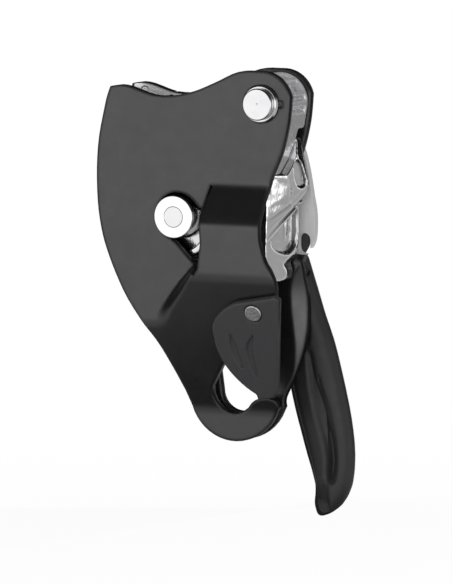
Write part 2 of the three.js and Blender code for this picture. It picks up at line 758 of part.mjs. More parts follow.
// Cam: a grooved sheave off the axle's centre, a rear cheek and the pocketed outer arm
const armShares = [
  [0.72, -0.37], [0.69, -0.1], [0.71, 0.16], [0.79, 0.35], [0.93, 0.48], [1.06, 0.6],
  [1.16, 0.685], [1.19, 0.68], [1.212, 0.575], [1.25, 0.43], [1.29, 0.3], [1.31, 0.22],
  [1.27, 0.13], [1.185, 0.116], [1.168, 0.08], [1.17, -0.06], [1.168, -0.237], [1.13, -0.33],
  [1.08, -0.4], [1.1, -0.46], [1.09, -0.53], [1.03, -0.55], [0.97, -0.5], [0.93, -0.44],
  [0.83, -0.4],
];
const cheekShares = [
  [0.2, 0.42], [0.6, 0.45], [0.93, 0.49], [1.04, 0.5], [1.07, 0.3], [1.07, 0.1], [1.05, -0.2], [1, -0.36],
  [0.85, -0.37], [0.5, -0.32], [0.2, -0.41], [-0.1, -0.41],
];
const armFront = -camHalf + ARM_SET_BACK;

// Frames of the arm's outer face and of a section across the plates
const armFrame = new THREE.Matrix4().makeRotationZ(THREE.MathUtils.degToRad(ARM_SLANT));
armFrame.setPosition(ARM_FACE_X, armFront, 0);
const pocketFrame = armFrame.clone().multiply(new THREE.Matrix4().makeRotationX(Math.PI / 2));
const acrossFrame = new THREE.Matrix4().makeBasis(
  new THREE.Vector3(0, 1, 0),
  new THREE.Vector3(0, 0, 1),
  new THREE.Vector3(1, 0, 0),
);

// Height of the outer face by its distance above the diagonal ridge, as shares of the step
const ridgeProfileShares = [
  [20, 1], [2.86, 1], [1.67, 0.88], [0.95, 0.68], [0.62, 0.58], [0.48, 0.4], [0.31, 0.1],
  [0.19, 0], [0.07, 0], [-0.02, 0.17], [-0.14, 0.22], [-0.26, 0.17], [-0.36, 0], [-20, 0],
];
const ridgeProfile = ridgeProfileShares.map(([above, height]) => [above * ARM_STEP, height * ARM_STEP]);
const ridgeRiseShare = 0.955;

function armFaceAt(u, v) {
  return -tableAt(ridgeProfile, v - u * ridgeRiseShare + RIDGE_DROP);
}

function armFaceSolid() {
  const columnsAt = (v) => ridgeProfile.map(([above]) => (v + RIDGE_DROP - above) / ridgeRiseShare);
  const geometry = pressedGeometry([reachOut / 2, -reachOut / 2], columnsAt, armFaceAt, reachOut);
  geometry.applyMatrix4(armFrame);
  return solidOf(geometry);
}

// Seam between the arm and the brake block's tail: across the plates and up
const seamShares = [[-0.134, 0.378], [0.065, 0.508], [0.156, 0.657], [0.194, 0.767]];

function belowSeam(shift) {
  const seam = scaled(seamShares, ROPE_GAP, PIN_Z, -shift, shift);
  const [first, last] = [seam[0], seam[seam.length - 1]];
  const points = [
    new THREE.Vector2(-ROPE_GAP, -PIN_Z),
    new THREE.Vector2(ROPE_GAP, -PIN_Z),
    new THREE.Vector2(ROPE_GAP, last.y),
    ...seam.reverse(),
    new THREE.Vector2(-ROPE_GAP, first.y),
  ];
  return framedPrism(acrossFrame, points, 0, PIN_X * 2);
}

// Pockets and slit in the outer face: across it as shares of the gap between the plates, and up
const pocketShares = [
  [
    [0.63, 0.458], [0.72, 0.51], [0.87, 0.47], [0.965, 0.365], [0.99, 0.293], [0.9, 0.26],
    [0.74, 0.281], [0.67, 0.353],
  ],
  [
    [0.166, -0.193], [0.387, -0.102], [0.661, -0.004], [0.876, 0.07], [0.892, -0.07], [0.876, -0.2],
    [0.769, -0.285], [0.575, -0.315], [0.36, -0.293], [0.194, -0.245],
  ],
];
const pocketFloorShares = [0.35, -0.85];
const slitShares = [[0.53, 0.357], [0.55, 0.139]];

function armPockets() {
  const pockets = pocketShares.map((shares, i) => {
    const floor = pocketFloorShares[i] * ARM_STEP;
    const outline = curve(closed(scaled(shares, ROPE_GAP, PIN_Z)), 3).slice(0, -1);
    return framedPrism(pocketFrame, outline.reverse(), floor, ARM_STEP + OVERRUN);
  });
  const [top, foot] = scaled(slitShares, ROPE_GAP, PIN_Z);
  const side = new THREE.Vector2(SLIT_WIDTH, 0);
  const slit = [foot, foot.clone().add(side), top.clone().add(side), top];
  return [...pockets, framedPrism(pocketFrame, slit, ARM_STEP - POCKET_DEPTH, ARM_STEP + OVERRUN)];
}

function cam() {
  const waist = SHEAVE_RADIUS - GROOVE_DEPTH;
  const rim = SHEAVE_RADIUS + OVERRUN;
  const lip = camHalf - CHEEK;
  const groove = turned(
    [[waist, -lip / 3], [rim, -lip], [rim, lip], [waist, lip / 3], [waist, -lip / 3]],
    -SHEAVE_OFFSET,
    0,
  );
  const recessFloor = -camHalf + SHEAVE_RECESS;
  const recess = rod(SHEAVE_RADIUS - SHEAVE_RIM, -camHalf - OVERRUN, recessFloor, -SHEAVE_OFFSET, 0);
  const hub = rod(HUB_RADIUS, -camHalf, recessFloor + FIT);
  const sheave = rod(SHEAVE_RADIUS, -camHalf, camHalf, -SHEAVE_OFFSET, 0);
  const grooved = joinAll(cutAll(sheave, groove, recess), hub);
  const cheek = prism(curve(scaled(cheekShares, WAIST_REACH, PIN_Z), 3), camHalf - CHEEK, camHalf);
  const armBlank = prism(curve(scaled(armShares, WAIST_REACH, PIN_Z), 3), armFront, camHalf);
  const arm = cutAll(armBlank.intersect(armFaceSolid()).intersect(belowSeam(0)), armPockets());
  const well = rod(SPRING_WELL_RADIUS, camHalf - SPRING_WELL_DEPTH, camHalf + OVERRUN);
  const bore = rod(AXLE_RADIUS + FIT + BUSH_WALL + FIT, -camHalf - OVERRUN, camHalf + OVERRUN);
  return cutAll(joinAll(grooved, cheek, arm), well, bore);
}

function closed(points) {
  return [...points, points[0]];
}

// Brake block: a rim-and-rib casting round the swing pin with a tail down the right edge
const blockTailShares = [
  [1.272, 0.8], [1.225, 0.65], [1.165, 0.5], [1.115, 0.38], [1.09, 0.33], [1.04, 0.335],
  [1.01, 0.46], [0.99, 0.6], [0.93, 0.74], [0.7, 0.92], [0.66, 1.06],
];
const pocketAngles = [[58, 96], [24, 50], [3, 15], [-22, -8]];

function brakeBlock() {
  const radius = LOBE_RADIUS - BLOCK_INSET;
  const front = frontInner + FIT;
  const back = rearInner - FIT;
  const body = prism(blockOutline(radius), front, back).subtract(belowSeam(FIT));
  const pockets = pocketAngles.map(([from, to]) =>
    prism(
      [
        ...arc(PIN_X, PIN_Z, radius + OVERRUN, from, to, 6),
        ...arc(PIN_X, PIN_Z, radius - BLOCK_POCKET, to, from, 4),
      ],
      front + BLOCK_RIM,
      back - BLOCK_RIM,
    ),
  );
  const bore = rod(PIN_RADIUS + FIT, front - OVERRUN, back + OVERRUN, PIN_X, PIN_Z);
  const holes = blockRivets.map((p) =>
    rod(RIVET_RADIUS + FIT, back - BLOCK_RIB * 2, back + OVERRUN, p.x, p.y, SMALL_ROUND),
  );
  return cutAll(body, pockets, bore, holes);
}

function blockOutline(radius) {
  const tail = scaled(blockTailShares, PIN_X, PIN_Z);
  return joined(arc(PIN_X, PIN_Z, radius, -8, 140, 18), curve(tail.slice().reverse(), 3));
}

// Entry guide: a grooved insert under the plates' top-left edge
const guideShares = [
  [-0.18, 1.03], [-0.29, 1.04], [-0.422, 1.069], [-0.565, 1.105], [-0.685, 1.118], [-0.75, 1.112],
];

function entryGuide() {
  const top = curve(scaled(guideShares, PIN_X, PIN_Z), 4);
  const under = top.map((p) => new THREE.Vector2(p.x, p.y - GUIDE_THICK)).reverse();
  const front = frontInner + FIT;
  const back = rearInner - FIT;
  const body = prism(joined(top, under), front, back);
  const lift = top.map((p) => new THREE.Vector2(p.x, p.y + OVERRUN)).reverse();
  const low = top.map((p) => new THREE.Vector2(p.x, p.y - GUIDE_GROOVE));
  low[0].x += OVERRUN;
  lift[lift.length - 1].x += OVERRUN;
  low[low.length - 1].x -= OVERRUN;
  lift[0].x -= OVERRUN;
  const groove = prism(joined(low, lift), front + BLOCK_RIM, back - BLOCK_RIM);
  const holes = guideRivets.map((p) =>
    rod(RIVET_RADIUS + FIT, back - BLOCK_RIM, back + OVERRUN, p.x, p.y, SMALL_ROUND),
  );
  return cutAll(body, groove, holes);
}

// Lever: a flat arm behind the rear plate, set back where the grip is moulded on
const leverShares = [
  [0.17, 0.235], [0.7, 0.585], [0.835, 0.65], [0.884, 0.592], [0.925, 0.447], [0.95, 0.315], [0.972, 0.174],
  [0.993, 0.05], [0.998, -0.06], [0.993, -0.188], [0.97, -0.262], [0.925, -0.32],
];
const tongueShares = [
  [0.86, -0.16], [0.88, -0.3], [0.95, -0.45], [1.03, -0.62], [1.06, -0.78], [1, -0.82], [0.9, -0.72],
  [0.78, -0.53], [0.7, -0.36], [0.65, -0.132],
];
const slotShares = [0.905, -0.24];

function pushedFrom(centre, points, grow) {
  return points.map((p) => p.clone().add(p.clone().sub(centre).normalize().multiplyScalar(grow)));
}

function leverOutline(grow = 0) {
  const upper = scaled(leverShares, LEVER_REACH, PIN_Z);
  const tongue = scaled(tongueShares, LEVER_REACH, GRIP_DROP);
  const middle = new THREE.Vector2(LEVER_REACH * 0.82, -GRIP_DROP * 0.4);
  return joined(
    arc(0, 0, LEVER_HUB_RADIUS, 285, 62, 22),
    curve(pushedFrom(new THREE.Vector2(), upper, grow), 3),
    curve(pushedFrom(middle, tongue, grow), 2),
  );
}

const jogTop = -GRIP_DROP * 0.14;
const jogEnd = -GRIP_DROP * 0.2;

function leverFaceAt(x, z, start) {
  return start + between(-z, -jogTop, -jogEnd, LEVER_JOG);
}

function leverSheet(start, thickness, outline) {
  const rows = rowsOf([jogTop, jogEnd], [reachOut, -GRIP_DROP - OVERRUN]);
  const columnsAt = () => [-reachOut, reachOut];
  const sheet = pressedSheet(rows, columnsAt, (x, z) => leverFaceAt(x, z, start), thickness);
  return sheet.intersect(prism(outline, start - OVERRUN, start + thickness + LEVER_JOG + OVERRUN));
}

function handleLever() {
  const sheet = leverSheet(leverFront, LEVER, leverOutline());
  const x = slotShares[0] * LEVER_REACH;
  const z = slotShares[1] * PIN_Z;
  const slot = joined(
    arc(x, z + SLOT_RISE, SLOT_HALF, 0, 180, 8),
    arc(x, z - SLOT_RISE, SLOT_HALF, 180, 360, 8),
  );
  return cutAll(
    sheet,
    rod(AXLE_RADIUS + FIT + BUSH_WALL + FIT, leverFront - OVERRUN, leverBack + OVERRUN),
    prism(slot, leverFront - OVERRUN, leverBack + OVERRUN),
  );
}

// Grip: sections across its spine, each a rounded block between a left and a right edge
const gripRightShares = [
  [0.66, -0.138], [0.735, -0.2515], [0.79, -0.338], [0.848, -0.417], [0.897, -0.508], [0.954, -0.631],
  [0.984, -0.72], [0.997, -0.805], [0.977, -0.904], [0.902, -0.974], [0.8, -1.01],
];
const gripLeftShares = [
  [0.47, -0.138], [0.47, -0.2515], [0.482, -0.338], [0.504, -0.417], [0.537, -0.508], [0.588, -0.631],
  [0.636, -0.72], [0.684, -0.805], [0.745, -0.904], [0.736, -0.966], [0.765, -1.006],
];
const sectionShares = [
  [0, 0.12], [0.07, 0.02], [0.22, 0], [0.6, 0], [0.8, 0.04], [0.93, 0.16], [1, 0.4], [1, 0.66], [0.93, 0.86],
  [0.8, 0.97], [0.5, 1], [0.22, 0.97], [0.07, 0.86], [0, 0.66],
];
const recessShares = [
  [0.765, -0.5], [0.815, -0.58], [0.868, -0.66], [0.905, -0.74], [0.916, -0.82], [0.905, -0.88], [0.88, -0.9],
  [0.855, -0.88], [0.85, -0.82], [0.842, -0.74], [0.81, -0.66], [0.775, -0.58],
];
const tabShares = [[0.8, -0.045], [0.92, -0.045], [0.92, -0.1], [0.86, -0.14], [0.8, -0.19]];
const gripFront = leverFront + GRIP_SET_BACK;

function gripBody() {
  const right = curve(scaled(gripRightShares, GRIP_REACH, GRIP_DROP), 2);
  const left = curve(scaled(gripLeftShares, GRIP_REACH, GRIP_DROP), 2);
  const positions = [];
  const sides = sectionShares.length;
  right.forEach((edge, i) => {
    const inner = left[i];
    for (const [across, back] of sectionShares) {
      positions.push(
        inner.x + (edge.x - inner.x) * across,
        gripFront + GRIP_DEPTH * back,
        inner.y + (edge.y - inner.y) * across,
      );
    }
  });
  const index = [];
  const at = (i, s) => i * sides + (s % sides);
  const count = right.length;
  for (let i = 0; i + 1 < count; i += 1) {
    for (let s = 0; s < sides; s += 1) {
      index.push(at(i, s), at(i + 1, s), at(i + 1, s + 1), at(i, s), at(i + 1, s + 1), at(i, s + 1));
    }
  }
  for (let s = 1; s + 1 < sides; s += 1) {
    index.push(at(0, 0), at(0, s), at(0, s + 1));
    index.push(at(count - 1, 0), at(count - 1, s + 1), at(count - 1, s));
  }
  const geometry = new THREE.BufferGeometry();
  geometry.setAttribute("position", new THREE.Float32BufferAttribute(positions, 3));
  geometry.setIndex(index);
  return solidOf(geometry);
}

function handleGrip() {
  const aside = leverOutline().map((p) => new THREE.Vector2(p.x + 2 * FIT, p.y));
  const pockets = [leverOutline(2 * FIT), aside].map((outline) =>
    leverSheet(leverFront - FIT, LEVER + 2 * FIT, outline),
  );
  const recess = prism(
    curve(closed(scaled(recessShares, GRIP_REACH, GRIP_DROP)), 2).slice(0, -1),
    gripFront - OVERRUN,
    gripFront + GRIP_RECESS,
  );
  const tabFront = leverBack + FIT;
  const tab = prism(scaled(tabShares, LEVER_REACH, GRIP_DROP).reverse(), tabFront, tabFront + GRIP_TAB);
  return cutAll(gripBody().add(tab), pockets, recess);
}

// Turned pieces on the cam axle
const handleWasherBack = leverBack + FIT + HANDLE_WASHER;
const nutFront = handleWasherBack + FIT;

function axleHead() {
  const bore = AXLE_TIP_RADIUS + FIT;
  return turned([
    [bore, frontInner],
    [HEAD_RADIUS, frontInner],
    [HEAD_RADIUS, headTop + HEAD_CHAMFER],
    [HEAD_RADIUS - HEAD_CHAMFER, headTop],
    [bore, headTop],
    [bore, frontInner],
  ]);
}

function camAxle() {
  const shoulder = frontInner + FIT;
  const end = nutFront + NUT_HEIGHT;
  return turned([
    [0, headTop],
    [AXLE_TIP_RADIUS, headTop],
    [AXLE_TIP_RADIUS, shoulder],
    [AXLE_RADIUS, shoulder],
    [AXLE_RADIUS, end],
    [AXLE_RADIUS - HEAD_CHAMFER, end + HEAD_CHAMFER],
    [0, end + HEAD_CHAMFER],
  ]);
}

function axleNut() {
  const flats = arc(0, 0, NUT_RADIUS, 0, 360, 6).slice(0, -1);
  return prism(flats, nutFront, nutFront + NUT_HEIGHT, EDGE_BREAK).subtract(
    rod(AXLE_RADIUS + FIT, nutFront - OVERRUN, nutFront + NUT_HEIGHT + OVERRUN),
  );
}

function swingPin() {
  const headFace = frontOuter - FIT - PIN_WASHER - FIT - PIN_HEAD_HEIGHT;
  const headBack = headFace + PIN_HEAD_HEIGHT;
  const tail = rearOuter - PIN_WASHER;
  return turned(
    [
      [0, headFace],
      [PIN_HEAD_RADIUS - HEAD_CHAMFER / 2, headFace],
      [PIN_HEAD_RADIUS, headFace + HEAD_CHAMFER / 2],
      [PIN_HEAD_RADIUS, headBack],
      [PIN_RADIUS, headBack],
      [PIN_RADIUS, tail],
      [PIN_TAIL_RADIUS, tail],
      [PIN_TAIL_RADIUS, rearOuter],
      [0, rearOuter],
    ],
    PIN_X,
    PIN_Z,
  );
}

function pinWasher() {
  const back = frontOuter - FIT;
  const face = back - PIN_WASHER;
  const bore = PIN_RADIUS + FIT;
  return turned(
    [
      [bore, face],
      [PIN_WASHER_RADIUS - HEAD_CHAMFER, face],
      [PIN_WASHER_RADIUS, face + HEAD_CHAMFER],
      [PIN_WASHER_RADIUS, back],
      [bore, back],
      [bore, face],
    ],
    PIN_X,
    PIN_Z,
  );
}

function smallRivet(place, depth) {
  const sink = rearOuter - RIVET_SINK;
  return turned(
    [
      [0, rearInner - depth],
      [RIVET_RADIUS, rearInner - depth],
      [RIVET_RADIUS, sink],
      [RIVET_HEAD, sink],
      [RIVET_HEAD, rearOuter],
      [0, rearOuter],
    ],
    place.x,
    place.y,
    SMALL_ROUND,
  );
}

// Assembly
addPiece("rear_plate", rearPlate(), blackAnodised);
addPiece("front_plate", frontPlate(), blackAnodised);
addPiece("cam", cam(), castSilver);
addPiece("cam_bush", ring(AXLE_RADIUS + FIT, AXLE_RADIUS + FIT + BUSH_WALL, -camHalf, camHalf), bronze);
addPiece("cam_axle", camAxle(), polishedSteel);
addPiece("axle_head", axleHead(), polishedSteel);
addPiece("axle_nut", axleNut(), springSteel);
addPiece(
  "front_thrust_washer",
  ring(AXLE_RADIUS + FIT, WASHER_RADIUS, frontInner + FIT, frontInner + FIT + WASHER),
  polishedSteel,
);
addPiece(
  "rear_thrust_washer",
  ring(AXLE_RADIUS + FIT, WASHER_RADIUS, rearInner - FIT - WASHER, rearInner - FIT),
  polishedSteel,
);
addPiece(
  "handle_bush",
  ring(AXLE_RADIUS + FIT, AXLE_RADIUS + FIT + BUSH_WALL, leverFront, leverBack),
  bronze,
);
addPiece(
  "handle_washer",
  ring(AXLE_RADIUS + FIT, WASHER_RADIUS, leverBack + FIT, handleWasherBack),
  polishedSteel,
);
addPiece("swing_pin", swingPin(), polishedSteel);
addPiece("swing_pin_washer", pinWasher(), polishedSteel);
addPiece("brake_block", brakeBlock(), castSilver);
addPiece("entry_guide", entryGuide(), castSilver);
guideRivets.forEach((place, i) => {
  addPiece(`guide_rivet_${i + 1}`, smallRivet(place, BLOCK_RIM), polishedSteel);
});
blockRivets.forEach((place, i) => {
  addPiece(`block_rivet_${i + 1}`, smallRivet(place, BLOCK_RIB * 2), polishedSteel);
});
addPiece("gate", gate(), blackNylon);
addPiece("gate_rivet", gateRivet(), polishedSteel);
addPiece("handle_lever", handleLever(), mattSilver);
addPiece("handle_grip", handleGrip(), blackNylon);

const camSpringGeometry = coil(CAM_COIL_RADIUS, CAM_WIRE, CAM_COIL_TURNS, "cam_spring");
camSpringGeometry.translate(0, camHalf - SPRING_WELL_DEPTH + FIT + CAM_WIRE / 2, 0);
addPiece("cam_spring", solidOf(camSpringGeometry), springSteel);

const gateSpringGeometry = coil(GATE_COIL_RADIUS, GATE_WIRE, GATE_COIL_TURNS, "gate_spring");
gateSpringGeometry.rotateX(Math.PI / 2);
gateSpringGeometry.translate(0, 0, gateUnderSpring + GATE_WIRE / 2 + FIT);
gateSpringGeometry.applyMatrix4(rampFrame);
addPiece("gate_spring", solidOf(gateSpringGeometry), springSteel);

group.position.set(-EYE_X, -eyeMidY, EYE_DROP);

export default group;
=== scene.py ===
"""Rappel descender: finishes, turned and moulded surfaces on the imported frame, and the studio."""

import logging
import math
from dataclasses import dataclass
from enum import Enum

import bmesh
import bpy
from mathutils import Matrix, Vector


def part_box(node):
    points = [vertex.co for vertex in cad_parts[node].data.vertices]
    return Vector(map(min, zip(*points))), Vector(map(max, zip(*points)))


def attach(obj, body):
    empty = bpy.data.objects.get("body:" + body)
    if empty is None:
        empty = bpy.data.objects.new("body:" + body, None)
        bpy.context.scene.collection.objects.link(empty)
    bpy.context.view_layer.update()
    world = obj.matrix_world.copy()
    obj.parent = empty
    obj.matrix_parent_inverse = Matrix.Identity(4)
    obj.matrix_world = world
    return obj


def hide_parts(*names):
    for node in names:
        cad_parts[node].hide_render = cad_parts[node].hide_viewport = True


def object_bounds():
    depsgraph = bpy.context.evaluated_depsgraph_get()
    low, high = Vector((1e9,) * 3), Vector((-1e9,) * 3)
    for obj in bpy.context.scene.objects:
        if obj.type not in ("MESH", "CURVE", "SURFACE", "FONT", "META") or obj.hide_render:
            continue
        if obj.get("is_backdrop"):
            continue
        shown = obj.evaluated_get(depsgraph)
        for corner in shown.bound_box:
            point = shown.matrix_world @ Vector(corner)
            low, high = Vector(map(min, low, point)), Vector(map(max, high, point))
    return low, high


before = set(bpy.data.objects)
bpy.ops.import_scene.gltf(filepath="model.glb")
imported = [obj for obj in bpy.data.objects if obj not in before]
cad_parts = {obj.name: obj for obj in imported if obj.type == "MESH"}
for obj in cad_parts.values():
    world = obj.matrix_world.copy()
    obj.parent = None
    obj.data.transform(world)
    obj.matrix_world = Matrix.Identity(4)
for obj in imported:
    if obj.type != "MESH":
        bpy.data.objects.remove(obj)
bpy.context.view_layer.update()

Span = tuple[float, float]
Triple = tuple[float, float, float]
Colour = Triple
Piece = bpy.types.Object
Material = bpy.types.Material
Socket = bpy.types.NodeSocket
Value = float | tuple[float, ...] | Socket
Mesh = bmesh.types.BMesh

LOG = logging.getLogger("descender")
MM = 0.001

# Samples for an edge that is rounded only in its shading
BEVEL_SAMPLES = 6
# Weight of a noise's finer octaves, and the middle of its range
NOISE_ROUGHNESS = 0.6
NOISE_MIDDLE = (0.3, 0.7)
# Sockets of the node that mixes two colours
COLOUR_INPUTS = (6, 7)
COLOUR_OUTPUT = 2
# Material indices of a piece's broad faces, and of its side walls and rounded edges
FACE = 0
WALL = 1
# Edges sharper than this, in degrees, stay crisp, and none does past a half turn
CRISP_ANGLE = 38.0
NEVER_CRISP = 180.0


class Body(Enum):
    """The rigid bodies that pieces ride on."""

    FRAME = "frame"
    SWING_PLATE = "swing_plate"
    GATE = "gate"
    CAM = "cam"
    HANDLE = "handle"


class Slot(Enum):
    """The record's material slots."""

    ANODISED = "black_anodised"
    CAST = "cast_silver"
    BRONZE = "bronze"
    POLISHED = "polished_steel"
    SPRING = "spring_steel"
    MATT = "matt_aluminium"
    NYLON = "black_nylon"


class Join(Enum):
    """Ways to make one number of two."""

    TIMES = "MULTIPLY"
    LARGER = "MAXIMUM"


class Slope(Enum):
    """Ways to lead from one number to another."""

    STRAIGHT = "LINEAR"
    SMOOTH = "SMOOTHSTEP"


class NodeBench:
    """A node tree, with short calls to add and join nodes."""

    def __init__(self, tree: bpy.types.NodeTree) -> None:
        """Takes the tree to work on."""
        self.tree = tree

    def add(self, kind: str, **sockets: Value) -> bpy.types.Node:
        """Adds a node and fills its inputs.

        Args:
            kind: the node's type name.
            sockets: values or sockets by input name, with underscores for spaces.

        Returns:
            The node.
        """
        node = self.tree.nodes.new(kind)
        for name, value in sockets.items():
            self.fill(node, name.replace("_", " "), value)
        return node

    def fill(self, node: bpy.types.Node, name: str | int, value: Value) -> None:
        """Sets an input to a value, or links it to a socket.

        Args:
            node: the node.
            name: the input's name or number.
            value: a number, a colour or an output socket.
        """
        if isinstance(value, Socket):
            self.tree.links.new(value, node.inputs[name])
        else:
            node.inputs[name].default_value = value

    def join(self, way: Join, first: Value, second: Value) -> Socket:
        """Makes one number of two.

        Args:
            way: how they are joined.
            first: a number or a socket.
            second: a number or a socket.

        Returns:
            The result's socket.
        """
        node = self.add("ShaderNodeMath")
        node.operation = way.value
        self.fill(node, 0, first)
        self.fill(node, 1, second)
        return node.outputs[0]

    def ramp(
        self, value: Socket, span: Span, results: Span = (0.0, 1.0), slope: Slope = Slope.SMOOTH
    ) -> Socket:
        """Leads from one result to another while a value crosses a span.

        Args:
            value: the socket that drives it.
            span: the values between which it leads over.
            results: the results before the span and after it.
            slope: how it leads from one to the other.

        Returns:
            The result's socket.
        """
        start, end = span
        low, high = results
        node = self.add(
            "ShaderNodeMapRange", Value=value, From_Min=start, From_Max=end, To_Min=low, To_Max=high
        )
        node.interpolation_type = slope.value
        return node.outputs["Result"]

    def blend(self, factor: Socket, first: Value, second: Value) -> Socket:
        """Mixes two numbers: the first where the factor is 0, the second where it is 1."""
        return self.add("ShaderNodeMix", Factor=factor, A=first, B=second).outputs["Result"]


class ShaderGraph(NodeBench):
    """A material's node tree round its Principled shader."""

    def __init__(self, name: str) -> None:
        """Starts a material with a Principled shader.

        Args:
            name: the material's name.
        """
        self.material = bpy.data.materials.new(name)
        self.material.use_nodes = True
        super().__init__(self.material.node_tree)
        self.shader = self.tree.nodes["Principled BSDF"]
        self.object_space = self.add("ShaderNodeTexCoord").outputs["Object"]

    def set(self, **sockets: Value) -> None:
        """Fills inputs of the Principled shader, named with underscores for spaces."""
        for name, value in sockets.items():
            self.fill(self.shader, name.replace("_", " "), value)

    def noise(self, size: float, detail: float = 3.0, stretch: Triple = (1, 1, 1)) -> Socket:
        """A noise on Object coordinates.

        Args:
            size: size of its grains, in metres.
            detail: octaves of finer noise.
            stretch: scale of each axis before the noise.

        Returns:
            The noise's value socket.
        """
        place = self.add("ShaderNodeMapping", Vector=self.object_space, Scale=stretch)
        texture = self.add(
            "ShaderNodeTexNoise", Vector=place.outputs["Vector"], Scale=1 / size,
            Detail=detail, Roughness=NOISE_ROUGHNESS,
        )
        return texture.outputs[0]

    def spread(self, noise: Socket, results: Span = (0.0, 1.0)) -> Socket:
        """Maps the middle of a noise's range to a low and a high result."""
        return self.ramp(noise, NOISE_MIDDLE, results, Slope.STRAIGHT)

    def tint(self, factor: Socket, dark: Colour, light: Colour) -> Socket:
        """Mixes two colours by a socket.

        Args:
            factor: the mixing factor.
            dark: colour at 0.
            light: colour at 1.

        Returns:
            The colour socket.
        """
        mix = self.add("ShaderNodeMix")
        mix.data_type = "RGBA"
        self.fill(mix, "Factor", factor)
        for number, colour in zip(COLOUR_INPUTS, (dark, light)):
            self.fill(mix, number, (*colour, 1))
        return mix.outputs[COLOUR_OUTPUT]

    def bump(self, height: Socket, depth: float, under: Socket | None = None) -> Socket:
        """Adds a bump to the surface.

        Args:
            height: the height socket, about 0 to 1.
            depth: the depth of the whole range, in metres.
            under: normal socket of the surface below the bump, or None for the plain one.

        Returns:
            The normal socket.
        """
        node = self.add("ShaderNodeBump", Height=height, Distance=depth, Strength=1.0)
        if under is not None:
            self.fill(node, "Normal", under)
        return node.outputs["Normal"]


@dataclass(frozen=True)
class AnodisedSheet:
    """Satin black anodised aluminium, bead-blasted before the dye."""

    name: str = "black_anodised"
    gloss: float = 1.0
    dark: Colour = (0.0105, 0.0098, 0.0106)
    light: Colour = (0.0135, 0.0126, 0.0136)
    roughness: Span = (0.27, 0.33)
    rounding: float = 2.0 * MM
    grain: float = 0.35 * MM
    depth: float = 0.006 * MM
    colour_cloud: float = 18 * MM
    sheen_cloud: float = 6 * MM

    def material(self) -> Material:
        """Builds the material.

        Returns:
            The material.
        """
        graph = ShaderGraph(self.name)
        rounded = graph.add("ShaderNodeBevel", Radius=self.rounding)
        rounded.samples = BEVEL_SAMPLES
        cloud = graph.spread(graph.noise(self.colour_cloud))
        grain = graph.noise(self.grain, detail=2.0)
        graph.set(
            Base_Color=graph.tint(cloud, self.dark, self.light),
            Specular_IOR_Level=self.gloss,
            Roughness=graph.spread(graph.noise(self.sheen_cloud), self.roughness),
            Normal=graph.bump(grain, self.depth, under=rounded.outputs["Normal"]),
        )
        return graph.material


@dataclass(frozen=True)
class BrightMetal:
    """A bare metal: cast, turned or drawn."""

    name: str
    dark: Colour
    light: Colour
    roughness: Span
    metallic: float = 1.0
    wave: float = 3 * MM
    wave_depth: float = 0.0
    grain: float = 0.2 * MM
    grain_depth: float = 0.002 * MM
    stretch: Triple = (1, 1, 1)
    # Curvature span over which the colour runs from dark to light: painted shade in hollows,
    # painted highlight on ridges
    relief: Span | None = None
    cloud_waves: float = 2.0

    def material(self) -> Material:
        """Builds the material; with relief, painted shade darkens hollows and a painted highlight
        lightens ridges.

        Returns:
            The material.
        """
        graph = ShaderGraph(self.name)
        # Painted shade and painted highlight: the colour follows the surface's curvature
        if self.relief:
            curvature = graph.add("ShaderNodeNewGeometry").outputs["Pointiness"]
            shade = graph.ramp(curvature, self.relief)
        else:
            shade = graph.spread(graph.noise(self.wave * self.cloud_waves))
        normal = graph.bump(graph.noise(self.grain, stretch=self.stretch), self.grain_depth)
        if self.wave_depth:
            normal = graph.bump(graph.noise(self.wave, detail=1.0), self.wave_depth, under=normal)
        graph.set(
            Base_Color=graph.tint(shade, self.dark, self.light),
            Metallic=self.metallic,
            Roughness=graph.spread(graph.noise(self.wave), self.roughness),
            Normal=normal,
        )
        return graph.material


@dataclass(frozen=True)
class MouldedNylon:
    """Glass-filled black nylon with a fine spark-eroded texture."""

    name: str = "black_nylon"
    dark: Colour = (0.0250, 0.0235, 0.0255)
    light: Colour = (0.0350, 0.0330, 0.0355)
    roughness: Span = (0.48, 0.58)
    specular: float = 0.65
    grain: float = 0.45 * MM
    depth: float = 0.018 * MM
    sheen_cloud: float = 3.6 * MM

    def material(self) -> Material:
        """Builds the material.

        Returns:
            The material.
        """
        graph = ShaderGraph(self.name)
        grain = graph.noise(self.grain, detail=4.0)
        graph.set(
            Base_Color=graph.tint(graph.spread(grain), self.dark, self.light),
            Roughness=graph.spread(graph.noise(self.sheen_cloud), self.roughness),
            Specular_IOR_Level=self.specular,
            Normal=graph.bump(grain, self.depth),
        )
        return graph.material


SHEET = AnodisedSheet()
# Painted shade: a less glossy copy of the anodised sheet for side walls and rounded edges, so they
# stay dark
SHADED_RIM = AnodisedSheet("black_anodised_shaded_rim", gloss=0.3, roughness=(0.36, 0.44))
NYLON = MouldedNylon()
# Painted light: a lighter copy of the black nylon, for the gate
PAINTED_LIGHT_NYLON = MouldedNylon("painted_light_nylon", dark=(0.041, 0.039, 0.042), light=(0.057, 0.054, 0.058))
POLISHED = BrightMetal("polished_steel", (0.70, 0.70, 0.71), (0.78, 0.78, 0.79), (0.12, 0.18))
MIRROR = BrightMetal("bright_head", (0.84, 0.84, 0.85), (0.90, 0.90, 0.91), (0.10, 0.15))
PEENED = BrightMetal(
    "peened_steel", (0.82, 0.82, 0.83), (0.94, 0.94, 0.95), (0.24, 0.36),
    wave=1.2 * MM, wave_depth=0.04 * MM, grain_depth=0.006 * MM,
)
